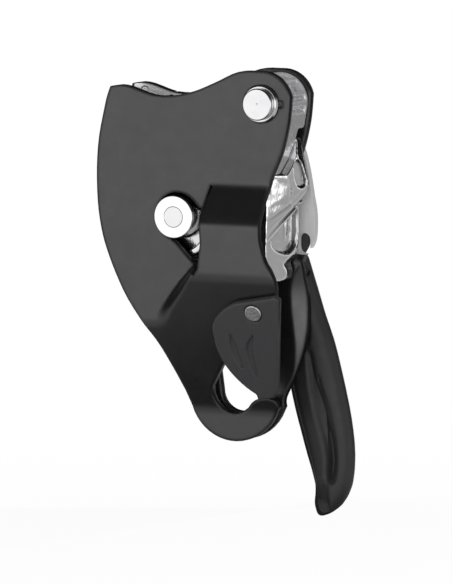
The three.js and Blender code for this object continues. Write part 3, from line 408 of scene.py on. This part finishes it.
# Painted shade and painted highlight: its dark colour fills the hollows and its light one the
# ridges
FLUID = BrightMetal(
    "bright_casting", (0.24, 0.24, 0.245), (0.94, 0.94, 0.95), (0.12, 0.20),
    wave=6 * MM, wave_depth=0.40 * MM, grain=1.3 * MM, grain_depth=0.07 * MM,
    stretch=(1.0, 1.0, 0.45), relief=(0.455, 0.54),
)
# Painted shade and painted highlight: darker in hollows, lighter on ridges
PALE = BrightMetal(
    "pale_casting", (0.62, 0.62, 0.63), (0.92, 0.92, 0.93), (0.20, 0.30),
    metallic=0.45, wave=4 * MM, wave_depth=0.08 * MM, relief=(0.42, 0.56),
)
MATT = BrightMetal(
    "matt_aluminium", (0.88, 0.88, 0.885), (0.93, 0.93, 0.935), (0.44, 0.52),
    metallic=0.25, grain_depth=0.006 * MM,
)
BRONZE = BrightMetal("bronze", (0.48, 0.31, 0.13), (0.58, 0.39, 0.18), (0.30, 0.42))
SPRING = BrightMetal("spring_steel", (0.36, 0.36, 0.37), (0.46, 0.46, 0.47), (0.26, 0.36))


def clamp(value: float) -> float:
    """Keeps a share between 0 and 1."""
    return max(0.0, min(1.0, value))


class Finishes:
    """The materials, each built once: those of the record's slots, and those of single pieces."""

    def __init__(self) -> None:
        """Builds every material."""
        self.by_slot = {
            Slot.ANODISED: SHEET.material(),
            Slot.CAST: PALE.material(),
            Slot.BRONZE: BRONZE.material(),
            Slot.POLISHED: POLISHED.material(),
            Slot.SPRING: SPRING.material(),
            Slot.MATT: MATT.material(),
            Slot.NYLON: NYLON.material(),
        }
        self.shaded_rim = SHADED_RIM.material()
        self.peened = PEENED.material()
        self.mirror = MIRROR.material()
        self.fluid = FLUID.material()
        self.painted_light_nylon = PAINTED_LIGHT_NYLON.material()


@dataclass
class SubAssembly:
    """Pieces that are built together, with the ways they are made. Angles are in degrees."""

    finishes: Finishes
    merge_reach: float = 0.02 * MM
    flat_angle: float = 0.3
    bevel_angle: float = 34.0
    wall_tilt: float = 0.2
    skin_flow: float = 0.6

    def settle(self, node: str, mesh: Mesh, smooth_angle: float = CRISP_ANGLE) -> Piece:
        """Turns a bmesh into a shown object at the origin.

        Args:
            node: the node that it stands for.
            mesh: its bmesh, which is freed.
            smooth_angle: edges sharper than this, in degrees, stay crisp.

        Returns:
            The object.
        """
        name = f"{node}_finished"
        data = bpy.data.meshes.new(name)
        mesh.to_mesh(data)
        mesh.free()
        data.shade_smooth()
        data.set_sharp_from_angle(angle=math.radians(smooth_angle))
        piece = bpy.data.objects.new(name, data)
        bpy.context.scene.collection.objects.link(piece)
        return piece

    def dress(
        self, piece: Piece, slot: Slot, body: Body, node: str,
        face: Material | None = None, wall: Material | None = None,
    ) -> None:
        """Gives a piece its finish and its body, and hides the node it stands for.

        Args:
            piece: the object.
            slot: the record's slot of its finish.
            body: the body it rides on.
            node: the CAD node that it replaces.
            face: a finish of its own, or None for the slot's.
            wall: finish of the polygons with the WALL index, or None for the same.
        """
        kinds = [polygon.material_index if wall else FACE for polygon in piece.data.polygons]
        piece.data.materials.clear()
        for finish in filter(None, (face or self.finishes.by_slot[slot], wall)):
            piece.data.materials.append(finish)
        piece.data.polygons.foreach_set("material_index", kinds)
        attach(piece, body.value)
        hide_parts(node)
        LOG.info("%s: %d faces, finish %s, on %s", piece.name, len(kinds), slot.value, body.value)

    def copy_of(self, node: str) -> Mesh:
        """A merged copy of a CAD node's mesh.

        Args:
            node: the node's name.

        Returns:
            The bmesh, with shared vertices and flat faces joined.
        """
        mesh = bmesh.new()
        mesh.from_mesh(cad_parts[node].data)
        bmesh.ops.remove_doubles(mesh, verts=mesh.verts[:], dist=self.merge_reach)
        bmesh.ops.dissolve_limit(
            mesh, angle_limit=math.radians(self.flat_angle),
            verts=mesh.verts[:], edges=mesh.edges[:], delimit=set(),
        )
        return mesh

    def crisp(self, node: str, edge: float, segments: int = 3, mesh: Mesh | None = None) -> Piece:
        """A copy of a node with rounded edges, for sheet and turned pieces.

        Args:
            node: the node's name.
            edge: width of the rounding, in metres.
            segments: its segments.
            mesh: a prepared copy of the node, or None.

        Returns:
            The object.
        """
        mesh = mesh or self.copy_of(node)
        for face in mesh.faces:
            face.material_index = WALL if abs(face.normal.y) < self.wall_tilt else FACE
        limit = math.radians(self.bevel_angle)
        sharp = [e for e in mesh.edges if e.is_manifold and e.calc_face_angle() > limit]
        rounded = bmesh.ops.bevel(
            mesh, geom=sharp, offset=edge, offset_type="OFFSET", affect="EDGES",
            segments=segments, profile=0.5, material=-1, clamp_overlap=True,
        )
        for face in rounded["faces"]:
            face.material_index = WALL
        piece = self.settle(node, mesh)
        weighted = piece.modifiers.new("even_normals", "WEIGHTED_NORMAL")
        weighted.keep_sharp = True
        return piece

    def soft(self, node: str, voxel: float, passes: int, mesh: Mesh | None = None) -> Piece:
        """A copy of a node with every edge flowing, for cast and moulded pieces.

        Args:
            node: the node's name.
            voxel: size of the new mesh's cells, in metres.
            passes: rounds of smoothing.
            mesh: a prepared copy of the node, or None.

        Returns:
            The object.
        """
        mesh = mesh or self.copy_of(node)
        bmesh.ops.triangulate(mesh, faces=mesh.faces[:])
        piece = self.settle(node, mesh, NEVER_CRISP)
        remesh = piece.modifiers.new("skin", "REMESH")
        remesh.mode = "VOXEL"
        remesh.voxel_size = voxel
        remesh.use_smooth_shade = True
        self.flow(piece, self.skin_flow, passes)
        return piece

    def flow(self, piece: Piece, factor: float, passes: int) -> None:
        """Smooths a piece.

        Args:
            piece: the object.
            factor: strength of each round.
            passes: rounds of smoothing.
        """
        smooth = piece.modifiers.new("flow", "SMOOTH")
        smooth.factor = factor
        smooth.iterations = passes

    def taken(self, piece: Piece) -> Mesh:
        """Takes a piece's mesh with its modifiers applied, and removes them.

        Args:
            piece: the object.

        Returns:
            The bmesh.
        """
        mesh = bmesh.new()
        mesh.from_object(piece, bpy.context.evaluated_depsgraph_get())
        piece.modifiers.clear()
        mesh.normal_update()
        return mesh

    def put_back(self, piece: Piece, mesh: Mesh) -> None:
        """Gives a piece its reshaped mesh.

        Args:
            piece: the object.
            mesh: the bmesh, which is freed.
        """
        bmesh.ops.recalc_face_normals(mesh, faces=mesh.faces[:])
        mesh.to_mesh(piece.data)
        mesh.free()


@dataclass
class SidePlates(SubAssembly):
    """The flat rear plate and the formed front plate."""

    rear_edge: float = 0.4 * MM
    front_edge: float = 0.8 * MM
    front_segments: int = 4
    flat_front: float = -20.0 * MM
    strap_height: float = 9.0 * MM
    bend_shift: float = 2.2 * MM
    bend_top: float = 87.0 * MM
    bend_foot: float = 80.0 * MM
    shift_end: float = 64.0 * MM

    def lowered_bend(self) -> Mesh:
        """A copy of the front plate whose strap reaches its full height a little lower.

        Returns:
            The bmesh.
        """
        mesh = self.copy_of("front_plate")
        for vert in mesh.verts:
            raised = clamp((self.flat_front - vert.co.y) / self.strap_height)
            above = (self.bend_top - vert.co.z) / (self.bend_top - self.bend_foot)
            below = (vert.co.z - self.shift_end) / (self.bend_foot - self.shift_end)
            vert.co.z -= self.bend_shift * raised * clamp(min(above, below))
        return mesh

    def build(self) -> None:
        """Builds and dresses both plates."""
        # Side walls and rounded edges take the less glossy copy of the sheet: painted shade
        shaded_rim = self.finishes.shaded_rim
        rear = self.crisp("rear_plate", self.rear_edge)
        front = self.crisp("front_plate", self.front_edge, self.front_segments, self.lowered_bend())
        self.dress(rear, Slot.ANODISED, Body.FRAME, "rear_plate", wall=shaded_rim)
        self.dress(front, Slot.ANODISED, Body.SWING_PLATE, "front_plate", wall=shaded_rim)


@dataclass
class TurnedParts(SubAssembly):
    """Axle, pin, washers, rivets, bushes and nut."""

    edge: float = 0.2 * MM
    axle_edge: float = 0.05 * MM
    dimple_radius: float = 1.1 * MM
    dimple_depth: float = 0.35 * MM
    dimple_taper: float = 0.8
    head_growth: float = 1.065
    tip_growth: float = 1.05
    front_layer: float = 0.05 * MM
    ring_share: float = 0.9

    def dimpled(self, node: str) -> Mesh:
        """A copy of a turned node with the lathe centre's dimple in its front face.

        Args:
            node: the node's name.

        Returns:
            The bmesh.
        """
        mesh = self.copy_of(node)
        front = min(mesh.faces, key=lambda face: face.calc_center_median().y)
        reach = max((vert.co - front.calc_center_median()).length for vert in front.verts)
        taper = self.dimple_radius * self.dimple_taper
        bmesh.ops.inset_region(mesh, faces=[front], thickness=reach - self.dimple_radius)
        bmesh.ops.inset_region(mesh, faces=[front], thickness=taper, depth=-self.dimple_depth)
        return mesh

    def widened(self, node: str, growth: float) -> Mesh:
        """A copy of a turned node whose foremost ring is wider, so that less of an edge shows.

        Args:
            node: the node's name.
            growth: the ring's new radius as a share of its old one.

        Returns:
            The bmesh.
        """
        mesh = self.copy_of(node)
        low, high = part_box(node)
        middle = (low + high) / 2
        front = [vert for vert in mesh.verts if vert.co.y < low.y + self.front_layer]
        reach = max(math.hypot(vert.co.x - middle.x, vert.co.z - middle.z) for vert in front)
        for vert in front:
            across = Vector((vert.co.x - middle.x, 0, vert.co.z - middle.z))
            if across.length > self.ring_share * reach:
                vert.co += across * (growth - 1)
        return mesh

    def build(self) -> None:
        """Builds and dresses every turned piece."""
        wide_head = self.widened("axle_head", self.head_growth)
        head = self.crisp("axle_head", self.edge, mesh=wide_head)
        self.dress(head, Slot.POLISHED, Body.FRAME, "axle_head", face=self.finishes.mirror)
        wide_tip = self.widened("cam_axle", self.tip_growth)
        axle = self.crisp("cam_axle", self.axle_edge, mesh=wide_tip)
        self.dress(axle, Slot.POLISHED, Body.FRAME, "cam_axle")
        steel = (
            "front_thrust_washer", "rear_thrust_washer", "handle_washer", "swing_pin_washer",
            "guide_rivet_1", "guide_rivet_2", "block_rivet_1", "block_rivet_2",
        )
        for node in steel:
            self.dress(self.crisp(node, self.edge), Slot.POLISHED, Body.FRAME, node)
        pin = self.crisp("swing_pin", self.edge, mesh=self.dimpled("swing_pin"))
        self.dress(pin, Slot.POLISHED, Body.FRAME, "swing_pin")
        self.dress(self.crisp("axle_nut", self.edge), Slot.SPRING, Body.FRAME, "axle_nut")
        rivet = self.crisp("gate_rivet", self.edge)
        peened = self.finishes.peened
        self.dress(rivet, Slot.POLISHED, Body.SWING_PLATE, "gate_rivet", face=peened)
        for node, body in (("cam_bush", Body.CAM), ("handle_bush", Body.HANDLE)):
            self.dress(self.crisp(node, self.edge), Slot.BRONZE, body, node)


@dataclass
class Castings(SubAssembly):
    """Cam, brake block and entry guide."""

    voxel: float = 0.4 * MM
    cam_passes: int = 5
    block_passes: int = 9
    guide_edge: float = 0.25 * MM
    scoop_depth: float = 3.6 * MM
    core_depth: float = 6.5 * MM
    core_inset: float = 0.9 * MM
    core_span: Span = (-30.0, 100.0)
    core_steps: int = 20
    arm_front: float = 1.2 * MM
    arm_reach: float = 19.9 * MM

    def flowing_arm(self) -> Mesh:
        """A copy of the cam whose outer face runs on to the arm's front edge, as cast.

        Returns:
            The bmesh.
        """
        mesh = self.copy_of("cam")
        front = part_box("cam")[0].y + self.arm_front
        for vert in mesh.verts:
            if vert.co.y < front and vert.co.x > self.arm_reach:
                vert.co.x = self.arm_reach
        return mesh

    def scooped_block(self) -> Mesh:
        """A copy of the brake block with a core that leaves its pockets as shallow scoops.

        Returns:
            The bmesh.
        """
        mesh = self.copy_of("brake_block")
        low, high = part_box("brake_block")
        pin_low, pin_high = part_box("swing_pin")
        centre = (pin_low + pin_high) / 2
        centre.y = 0
        outer = high.z - centre.z - self.scoop_depth
        inner = outer - self.core_depth
        front, back = low.y + self.core_inset, high.y - self.core_inset
        start, end = (math.radians(angle) for angle in self.core_span)
        along = Vector((math.cos(start), 0, math.sin(start)))
        corners = [
            mesh.verts.new(centre + Vector((0, y, 0)) + along * radius)
            for radius, y in ((inner, front), (outer, front), (outer, back), (inner, back))
        ]
        section = mesh.faces.new(corners)
        bmesh.ops.spin(
            mesh, geom=[section, *section.edges, *section.verts], cent=centre, axis=(0, -1, 0),
            angle=end - start, steps=self.core_steps, use_duplicate=False,
        )
        bmesh.ops.recalc_face_normals(mesh, faces=mesh.faces[:])
        return mesh

    def build(self) -> None:
        """Builds and dresses the three castings."""
        cam = self.soft("cam", self.voxel, self.cam_passes, self.flowing_arm())
        block = self.soft("brake_block", self.voxel, self.block_passes, self.scooped_block())
        guide = self.crisp("entry_guide", self.guide_edge)
        self.dress(cam, Slot.CAST, Body.CAM, "cam", face=self.finishes.fluid)
        self.dress(block, Slot.CAST, Body.FRAME, "brake_block")
        self.dress(guide, Slot.CAST, Body.FRAME, "entry_guide")


@dataclass
class Gate(SubAssembly):
    """The moulded gate."""

    voxel: float = 0.33 * MM
    passes: int = 5
    after_flow: float = 0.5
    after_passes: int = 2
    normal: Triple = (0.0, -0.930568, -0.366119)
    front_share: float = 0.25
    slope_width: float = 3.6 * MM
    slope_depth: float = 1.9 * MM

    def relief(self, piece: Piece) -> None:
        """Slopes the front away along the gate's right edge.

        Args:
            piece: the gate.
        """
        mesh = self.taken(piece)
        front = Vector(self.normal)
        faced = [vert for vert in mesh.verts if vert.normal.dot(front) > self.front_share]
        right = max(vert.co.x for vert in faced)
        for vert in faced:
            vert.co -= front * self.slope_depth * clamp(1 - (right - vert.co.x) / self.slope_width)
        self.put_back(piece, mesh)
        self.flow(piece, self.after_flow, self.after_passes)

    def build(self) -> None:
        """Builds and dresses the gate."""
        gate = self.soft("gate", self.voxel, self.passes)
        self.relief(gate)
        # The gate takes the lighter copy of the nylon: painted light
        self.dress(gate, Slot.NYLON, Body.GATE, "gate", face=self.finishes.painted_light_nylon)


@dataclass
class Handle(SubAssembly):
    """Lever and moulded grip."""

    edge: float = 0.4 * MM
    voxel: float = 0.55 * MM
    passes: int = 16
    after_flow: float = 0.6
    after_passes: int = 24
    # The channel's spine from the top down: across, up and half width
    channel: tuple[Triple, ...] = (
        (28.5 * MM, 17.9 * MM, 1.6 * MM),
        (30.6 * MM, 2.3 * MM, 3.4 * MM),
        (33.5 * MM, -9.4 * MM, 4.2 * MM),
        (37.1 * MM, -21.0 * MM, 4.0 * MM),
        (38.7 * MM, -30.1 * MM, 3.4 * MM),
        (38.2 * MM, -37.6 * MM, 2.0 * MM),
    )
    channel_depth: float = 4.4 * MM
    # Where the channel is deepest, from -1 at its left edge to 1 at its right
    channel_bottom: float = 0.2
    slope_reach: float = 12.0 * MM
    slope_depth: float = 6.0 * MM
    slope_gain: float = 2.0
    skin_top: float = 61.0 * MM

    def from_spine(self, x: float, z: float) -> Span:
        """Finds how far a place lies from the channel's spine.

        Args:
            x: place to the right.
            z: place upwards.

        Returns:
            Distance from the spine, left of it negative, and the channel's half width there.
        """
        best = (math.inf, 1.0)
        for (x0, z0, half0), (x1, z1, half1) in zip(self.channel, self.channel[1:]):
            span = Vector((x1 - x0, z1 - z0))
            along = clamp(Vector((x - x0, z - z0)).dot(span) / span.length_squared)
            across = x - x0 - span.x * along
            away = math.hypot(across, z - z0 - span.y * along)
            if away < abs(best[0]):
                best = (math.copysign(away, across), half0 + (half1 - half0) * along)
        return best

    def hollow(self, place: float) -> float:
        """How deep the lopsided channel is at a place across it.

        Args:
            place: the place, from -1 at the channel's left edge to 1 at its right.

        Returns:
            Share of the full depth, 0 outside the channel.
        """
        bottom = self.channel_bottom
        side = (place + 1) / (bottom + 1) if place < bottom else (1 - place) / (1 - bottom)
        side = max(0.0, side)
        return side * side * (3 - 2 * side)

    def carve(self, piece: Piece) -> None:
        """Presses the long channel into the grip's front, and slopes the lobe at its left away.

        Args:
            piece: the grip.
        """
        mesh = self.taken(piece)
        low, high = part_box("handle_grip")
        middle = (low.y + high.y) / 2
        top = self.channel[0][1] + self.slope_reach
        for vert in mesh.verts:
            facing = max(0.0, -vert.normal.y)
            if vert.co.y > middle or facing == 0.0 or vert.co.z > top:
                continue
            across, half = self.from_spine(vert.co.x, vert.co.z)
            press = self.channel_depth * self.hollow(across / half)
            if across < 0:
                lean = min(1.0, -across / self.slope_reach) * min(1.0, facing * self.slope_gain)
                press = max(press, self.slope_depth * lean)
            vert.co.y += press
        self.put_back(piece, mesh)
        self.flow(piece, self.after_flow, self.after_passes)

    def skinned_tongue(self) -> Piece:
        """Builds the lever, whose tongue has the WALL index below the top of the grip's skin.

        Returns:
            The object.
        """
        mesh = self.copy_of("handle_lever")
        bmesh.ops.bisect_plane(
            mesh, geom=[*mesh.verts, *mesh.edges, *mesh.faces],
            plane_co=(0, 0, self.skin_top), plane_no=(0, 0, 1),
        )
        lever = self.crisp("handle_lever", self.edge, mesh=mesh)
        for polygon in lever.data.polygons:
            polygon.material_index = WALL if polygon.center.z < self.skin_top else FACE
        return lever

    def build(self) -> None:
        """Builds and dresses the lever and the grip."""
        nylon = self.finishes.by_slot[Slot.NYLON]
        lever = self.skinned_tongue()
        self.dress(lever, Slot.MATT, Body.HANDLE, "handle_lever", wall=nylon)
        grip = self.soft("handle_grip", self.voxel, self.passes)
        self.carve(grip)
        self.dress(grip, Slot.NYLON, Body.HANDLE, "handle_grip")


@dataclass
class Springs(SubAssembly):
    """The two wire springs."""

    levels: int = 2

    def build(self) -> None:
        """Rounds the wires with a subdivision surface."""
        for node, body in (("cam_spring", Body.FRAME), ("gate_spring", Body.SWING_PLATE)):
            piece = self.settle(node, self.copy_of(node), NEVER_CRISP)
            round_off = piece.modifiers.new("round", "SUBSURF")
            round_off.levels = round_off.render_levels = self.levels
            self.dress(piece, Slot.SPRING, body, node)


@dataclass(frozen=True)
class Softbox:
    """A square lamp that looks at the object from a place round it, unseen by the camera."""

    name: str
    azimuth: float
    elevation: float
    size: float
    distance: float
    glow: float

    def power(self) -> float:
        """Power that makes the lamp's face as bright as its glow, where 1 is white."""
        return self.glow * math.pi * self.size**2


@dataclass(frozen=True)
class Flag:
    """A dark upright card that only draws dark lines in the gloss, unseen by the camera."""

    name: str
    azimuth: float
    distance: float
    width: float
    low: float
    high: float


@dataclass
class Studio:
    """Camera at the photograph's angle, pale floor, softboxes, dark flags and a soft world.

    Angles are in degrees and lengths in metres. A glow, gloss or fill of 1 is white.
    """

    azimuth: float = 25.5
    elevation: float = 6.5
    distance: float = 2.0
    frame_height: float = 0.2539
    sensor: float = 36.0
    clip_end: float = 100.0
    right: float = 0.0230
    down: float = 0.0326
    lamp_target: float = 0.04
    softboxes: tuple[Softbox, ...] = (
        Softbox("key_softbox", azimuth=-25.5, elevation=0.0, size=0.9, distance=1.2, glow=0.72),
        Softbox("side_softbox", azimuth=28.0, elevation=-5.0, size=0.9, distance=1.4, glow=1.5),
    )
    flags: tuple[Flag, ...] = (
        Flag("left_flag", azimuth=-112.0, distance=0.5, width=1.1, low=-0.19, high=0.6),
        Flag("back_flag", azimuth=-155.0, distance=0.7, width=0.6, low=-0.17, high=0.5),
        Flag("right_flag", azimuth=148.0, distance=0.7, width=0.6, low=-0.17, high=0.5),
    )
    card_grey: Colour = (0.02, 0.02, 0.02)
    card_roughness: float = 0.9
    floor_grey: Colour = (0.9, 0.9, 0.9)
    floor_white: float = 1.06
    floor_share: float = 0.9
    floor_drop: float = 0.11
    floor_size: float = 14.0
    floor_backdrop: Span = (0.2, 1.5)
    dark_radius: Span = (0.20, 0.32)
    fill: float = 0.62
    world_backdrop: Span = (-0.2, 0.5)
    world_ceiling: Span = (0.10, 0.50)
    front_gloss: float = 0.5
    dark_gloss: float = 0.03

    def direction(self, azimuth: float, elevation: float) -> Vector:
        """Unit vector from the object towards an azimuth, 0 in front and 90 at the right."""
        a, e = math.radians(azimuth), math.radians(elevation)
        return Vector((math.sin(a) * math.cos(e), -math.cos(a) * math.cos(e), math.sin(e)))

    def aim(self, thing: Piece, place: Vector, target: Vector) -> None:
        """Places a camera or lamp so that it looks at a point.

        Args:
            thing: the object.
            place: where it stands.
            target: what it looks at.
        """
        bpy.context.scene.collection.objects.link(thing)
        thing.location = place
        thing.rotation_euler = (target - place).to_track_quat("-Z", "Y").to_euler()

    def build(self) -> None:
        """Builds the whole studio."""
        self.camera()
        for softbox in self.softboxes:
            self.lamp(softbox)
        self.world()
        self.floor()
        card = self.dark_card()
        for flag in self.flags:
            self.flag(flag, card)
        bpy.context.scene.view_settings.view_transform = "Standard"

    def camera(self) -> None:
        """Long lens, aimed so that the axle head lands where the photograph has it."""
        low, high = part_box("axle_head")
        anchor = Vector(((low.x + high.x) / 2, low.y, (low.z + high.z) / 2))
        back = self.direction(self.azimuth, self.elevation)
        side = Vector((0, 0, 1)).cross(back).normalized()
        up = back.cross(side)
        target = anchor + side * self.right - up * self.down
        data = bpy.data.cameras.new("camera")
        data.sensor_width = self.sensor
        data.lens = self.sensor * self.distance / self.frame_height
        data.clip_end = self.clip_end
        camera = bpy.data.objects.new("camera", data)
        self.aim(camera, target + back * self.distance, target)
        bpy.context.scene.camera = camera

    def lamp(self, softbox: Softbox) -> None:
        """Adds one softbox.

        Args:
            softbox: its place, size and brightness.
        """
        data = bpy.data.lights.new(softbox.name, "AREA")
        data.shape = "SQUARE"
        data.size = softbox.size
        data.energy = softbox.power()
        lamp = bpy.data.objects.new(softbox.name, data)
        lamp.visible_camera = False
        target = Vector((0, 0, self.lamp_target))
        away = self.direction(softbox.azimuth, softbox.elevation) * softbox.distance
        self.aim(lamp, target + away, target)

    def world(self) -> None:
        """White to the camera, a horizon under a dark ceiling to gloss, a soft fill elsewhere."""
        world = bpy.data.worlds.new("studio")
        world.use_nodes = True
        nodes = NodeBench(world.node_tree)
        place = nodes.add("ShaderNodeTexCoord").outputs["Generated"]
        axes = nodes.add("ShaderNodeSeparateXYZ", Vector=place).outputs
        rays = nodes.add("ShaderNodeLightPath").outputs
        backdrop = nodes.ramp(axes["Y"], self.world_backdrop, (self.front_gloss, 1.0))
        ceiling = nodes.ramp(axes["Z"], self.world_ceiling, (1.0, self.dark_gloss))
        gloss = nodes.join(Join.TIMES, backdrop, ceiling)
        shiny = nodes.join(Join.LARGER, rays["Is Glossy Ray"], rays["Is Transmission Ray"])
        lit = nodes.blend(shiny, self.fill, gloss)
        seen = nodes.blend(rays["Is Camera Ray"], lit, 1.0)
        background = world.node_tree.nodes["Background"]
        nodes.fill(background, "Strength", seen)
        nodes.fill(background, "Color", (1, 1, 1, 1))
        bpy.context.scene.world = world

    def sheet(self, name: str, width: float, height: float, place: Matrix) -> Piece:
        """A flat sheet of the studio, which isn't part of the object.

        Args:
            name: its name.
            width: its width.
            height: its height.
            place: where it stands, as a matrix on its mesh.

        Returns:
            The object.
        """
        mesh = bmesh.new()
        stretched = place @ Matrix.Diagonal((width, height, 1, 1))
        bmesh.ops.create_grid(mesh, x_segments=1, y_segments=1, size=0.5, matrix=stretched)
        data = bpy.data.meshes.new(name)
        mesh.to_mesh(data)
        mesh.free()
        sheet = bpy.data.objects.new(name, data)
        bpy.context.scene.collection.objects.link(sheet)
        sheet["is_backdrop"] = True
        return sheet

    def floor(self) -> None:
        """Pale floor below the hanging object, which the camera sees white but for the shadow."""
        level = Matrix.Translation((0, 0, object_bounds()[0].z - self.floor_drop))
        floor = self.sheet("floor", self.floor_size, self.floor_size, level)
        floor.data.materials.append(self.pale_floor())

    def pale_floor(self) -> Material:
        """Matt pale floor that shines for the camera and for gloss, with a dark patch in gloss.

        Returns:
            The material.
        """
        material = bpy.data.materials.new("pale_floor")
        material.use_nodes = True
        material.node_tree.nodes.clear()
        nodes = NodeBench(material.node_tree)
        place = nodes.add("ShaderNodeTexCoord").outputs["Object"]
        axes = nodes.add("ShaderNodeSeparateXYZ", Vector=place).outputs
        rays = nodes.add("ShaderNodeLightPath").outputs
        flat = nodes.add("ShaderNodeCombineXYZ", X=axes["X"], Y=axes["Y"])
        radius = nodes.add("ShaderNodeVectorMath", Vector=flat.outputs["Vector"])
        radius.operation = "LENGTH"
        near = nodes.ramp(radius.outputs["Value"], self.dark_radius, (self.dark_gloss, 1.0))
        backdrop = nodes.ramp(axes["Y"], self.floor_backdrop, (self.front_gloss, 1.0))
        gloss = nodes.join(Join.TIMES, near, backdrop)
        glow = nodes.blend(rays["Is Camera Ray"], gloss, self.floor_white)
        matt = nodes.add("ShaderNodeBsdfDiffuse", Color=(*self.floor_grey, 1))
        white = nodes.add("ShaderNodeEmission", Strength=glow)
        by_camera = nodes.join(Join.TIMES, rays["Is Camera Ray"], self.floor_share)
        share = nodes.join(Join.LARGER, by_camera, rays["Is Glossy Ray"])
        mix = nodes.add("ShaderNodeMixShader", Fac=share)
        for number, shader in enumerate((matt, white), start=1):
            nodes.fill(mix, number, shader.outputs[0])
        nodes.add("ShaderNodeOutputMaterial", Surface=mix.outputs[0])
        return material

    def flag(self, flag: Flag, card: Material) -> None:
        """Stands one dark card on its edge, facing the object.

        Args:
            flag: its place and size.
            card: its material.
        """
        turned = Matrix.Rotation(math.radians(flag.azimuth), 4, "Z")
        upright = Matrix.Rotation(math.radians(90), 4, "X")
        middle = Vector((0, 0, (flag.low + flag.high) / 2))
        centre = self.direction(flag.azimuth, 0.0) * flag.distance + middle
        place = Matrix.Translation(centre) @ (turned @ upright)
        piece = self.sheet(flag.name, flag.width, flag.high - flag.low, place)
        piece.visible_camera = False
        piece.visible_shadow = False
        piece.data.materials.append(card)

    def dark_card(self) -> Material:
        """Matt black card.

        Returns:
            The material.
        """
        graph = ShaderGraph("dark_card")
        graph.set(
            Base_Color=(*self.card_grey, 1), Roughness=self.card_roughness, Specular_IOR_Level=0.0
        )
        return graph.material


def main() -> None:
    """Builds the studio and every sub-assembly in order."""
    logging.basicConfig(level=logging.INFO, format="%(name)s %(message)s")
    finishes = Finishes()
    Studio().build()
    for part in (SidePlates, TurnedParts, Castings, Gate, Handle, Springs):
        LOG.info("building %s", part.__name__)
        part(finishes).build()


if __name__ == "__main__":
    main()
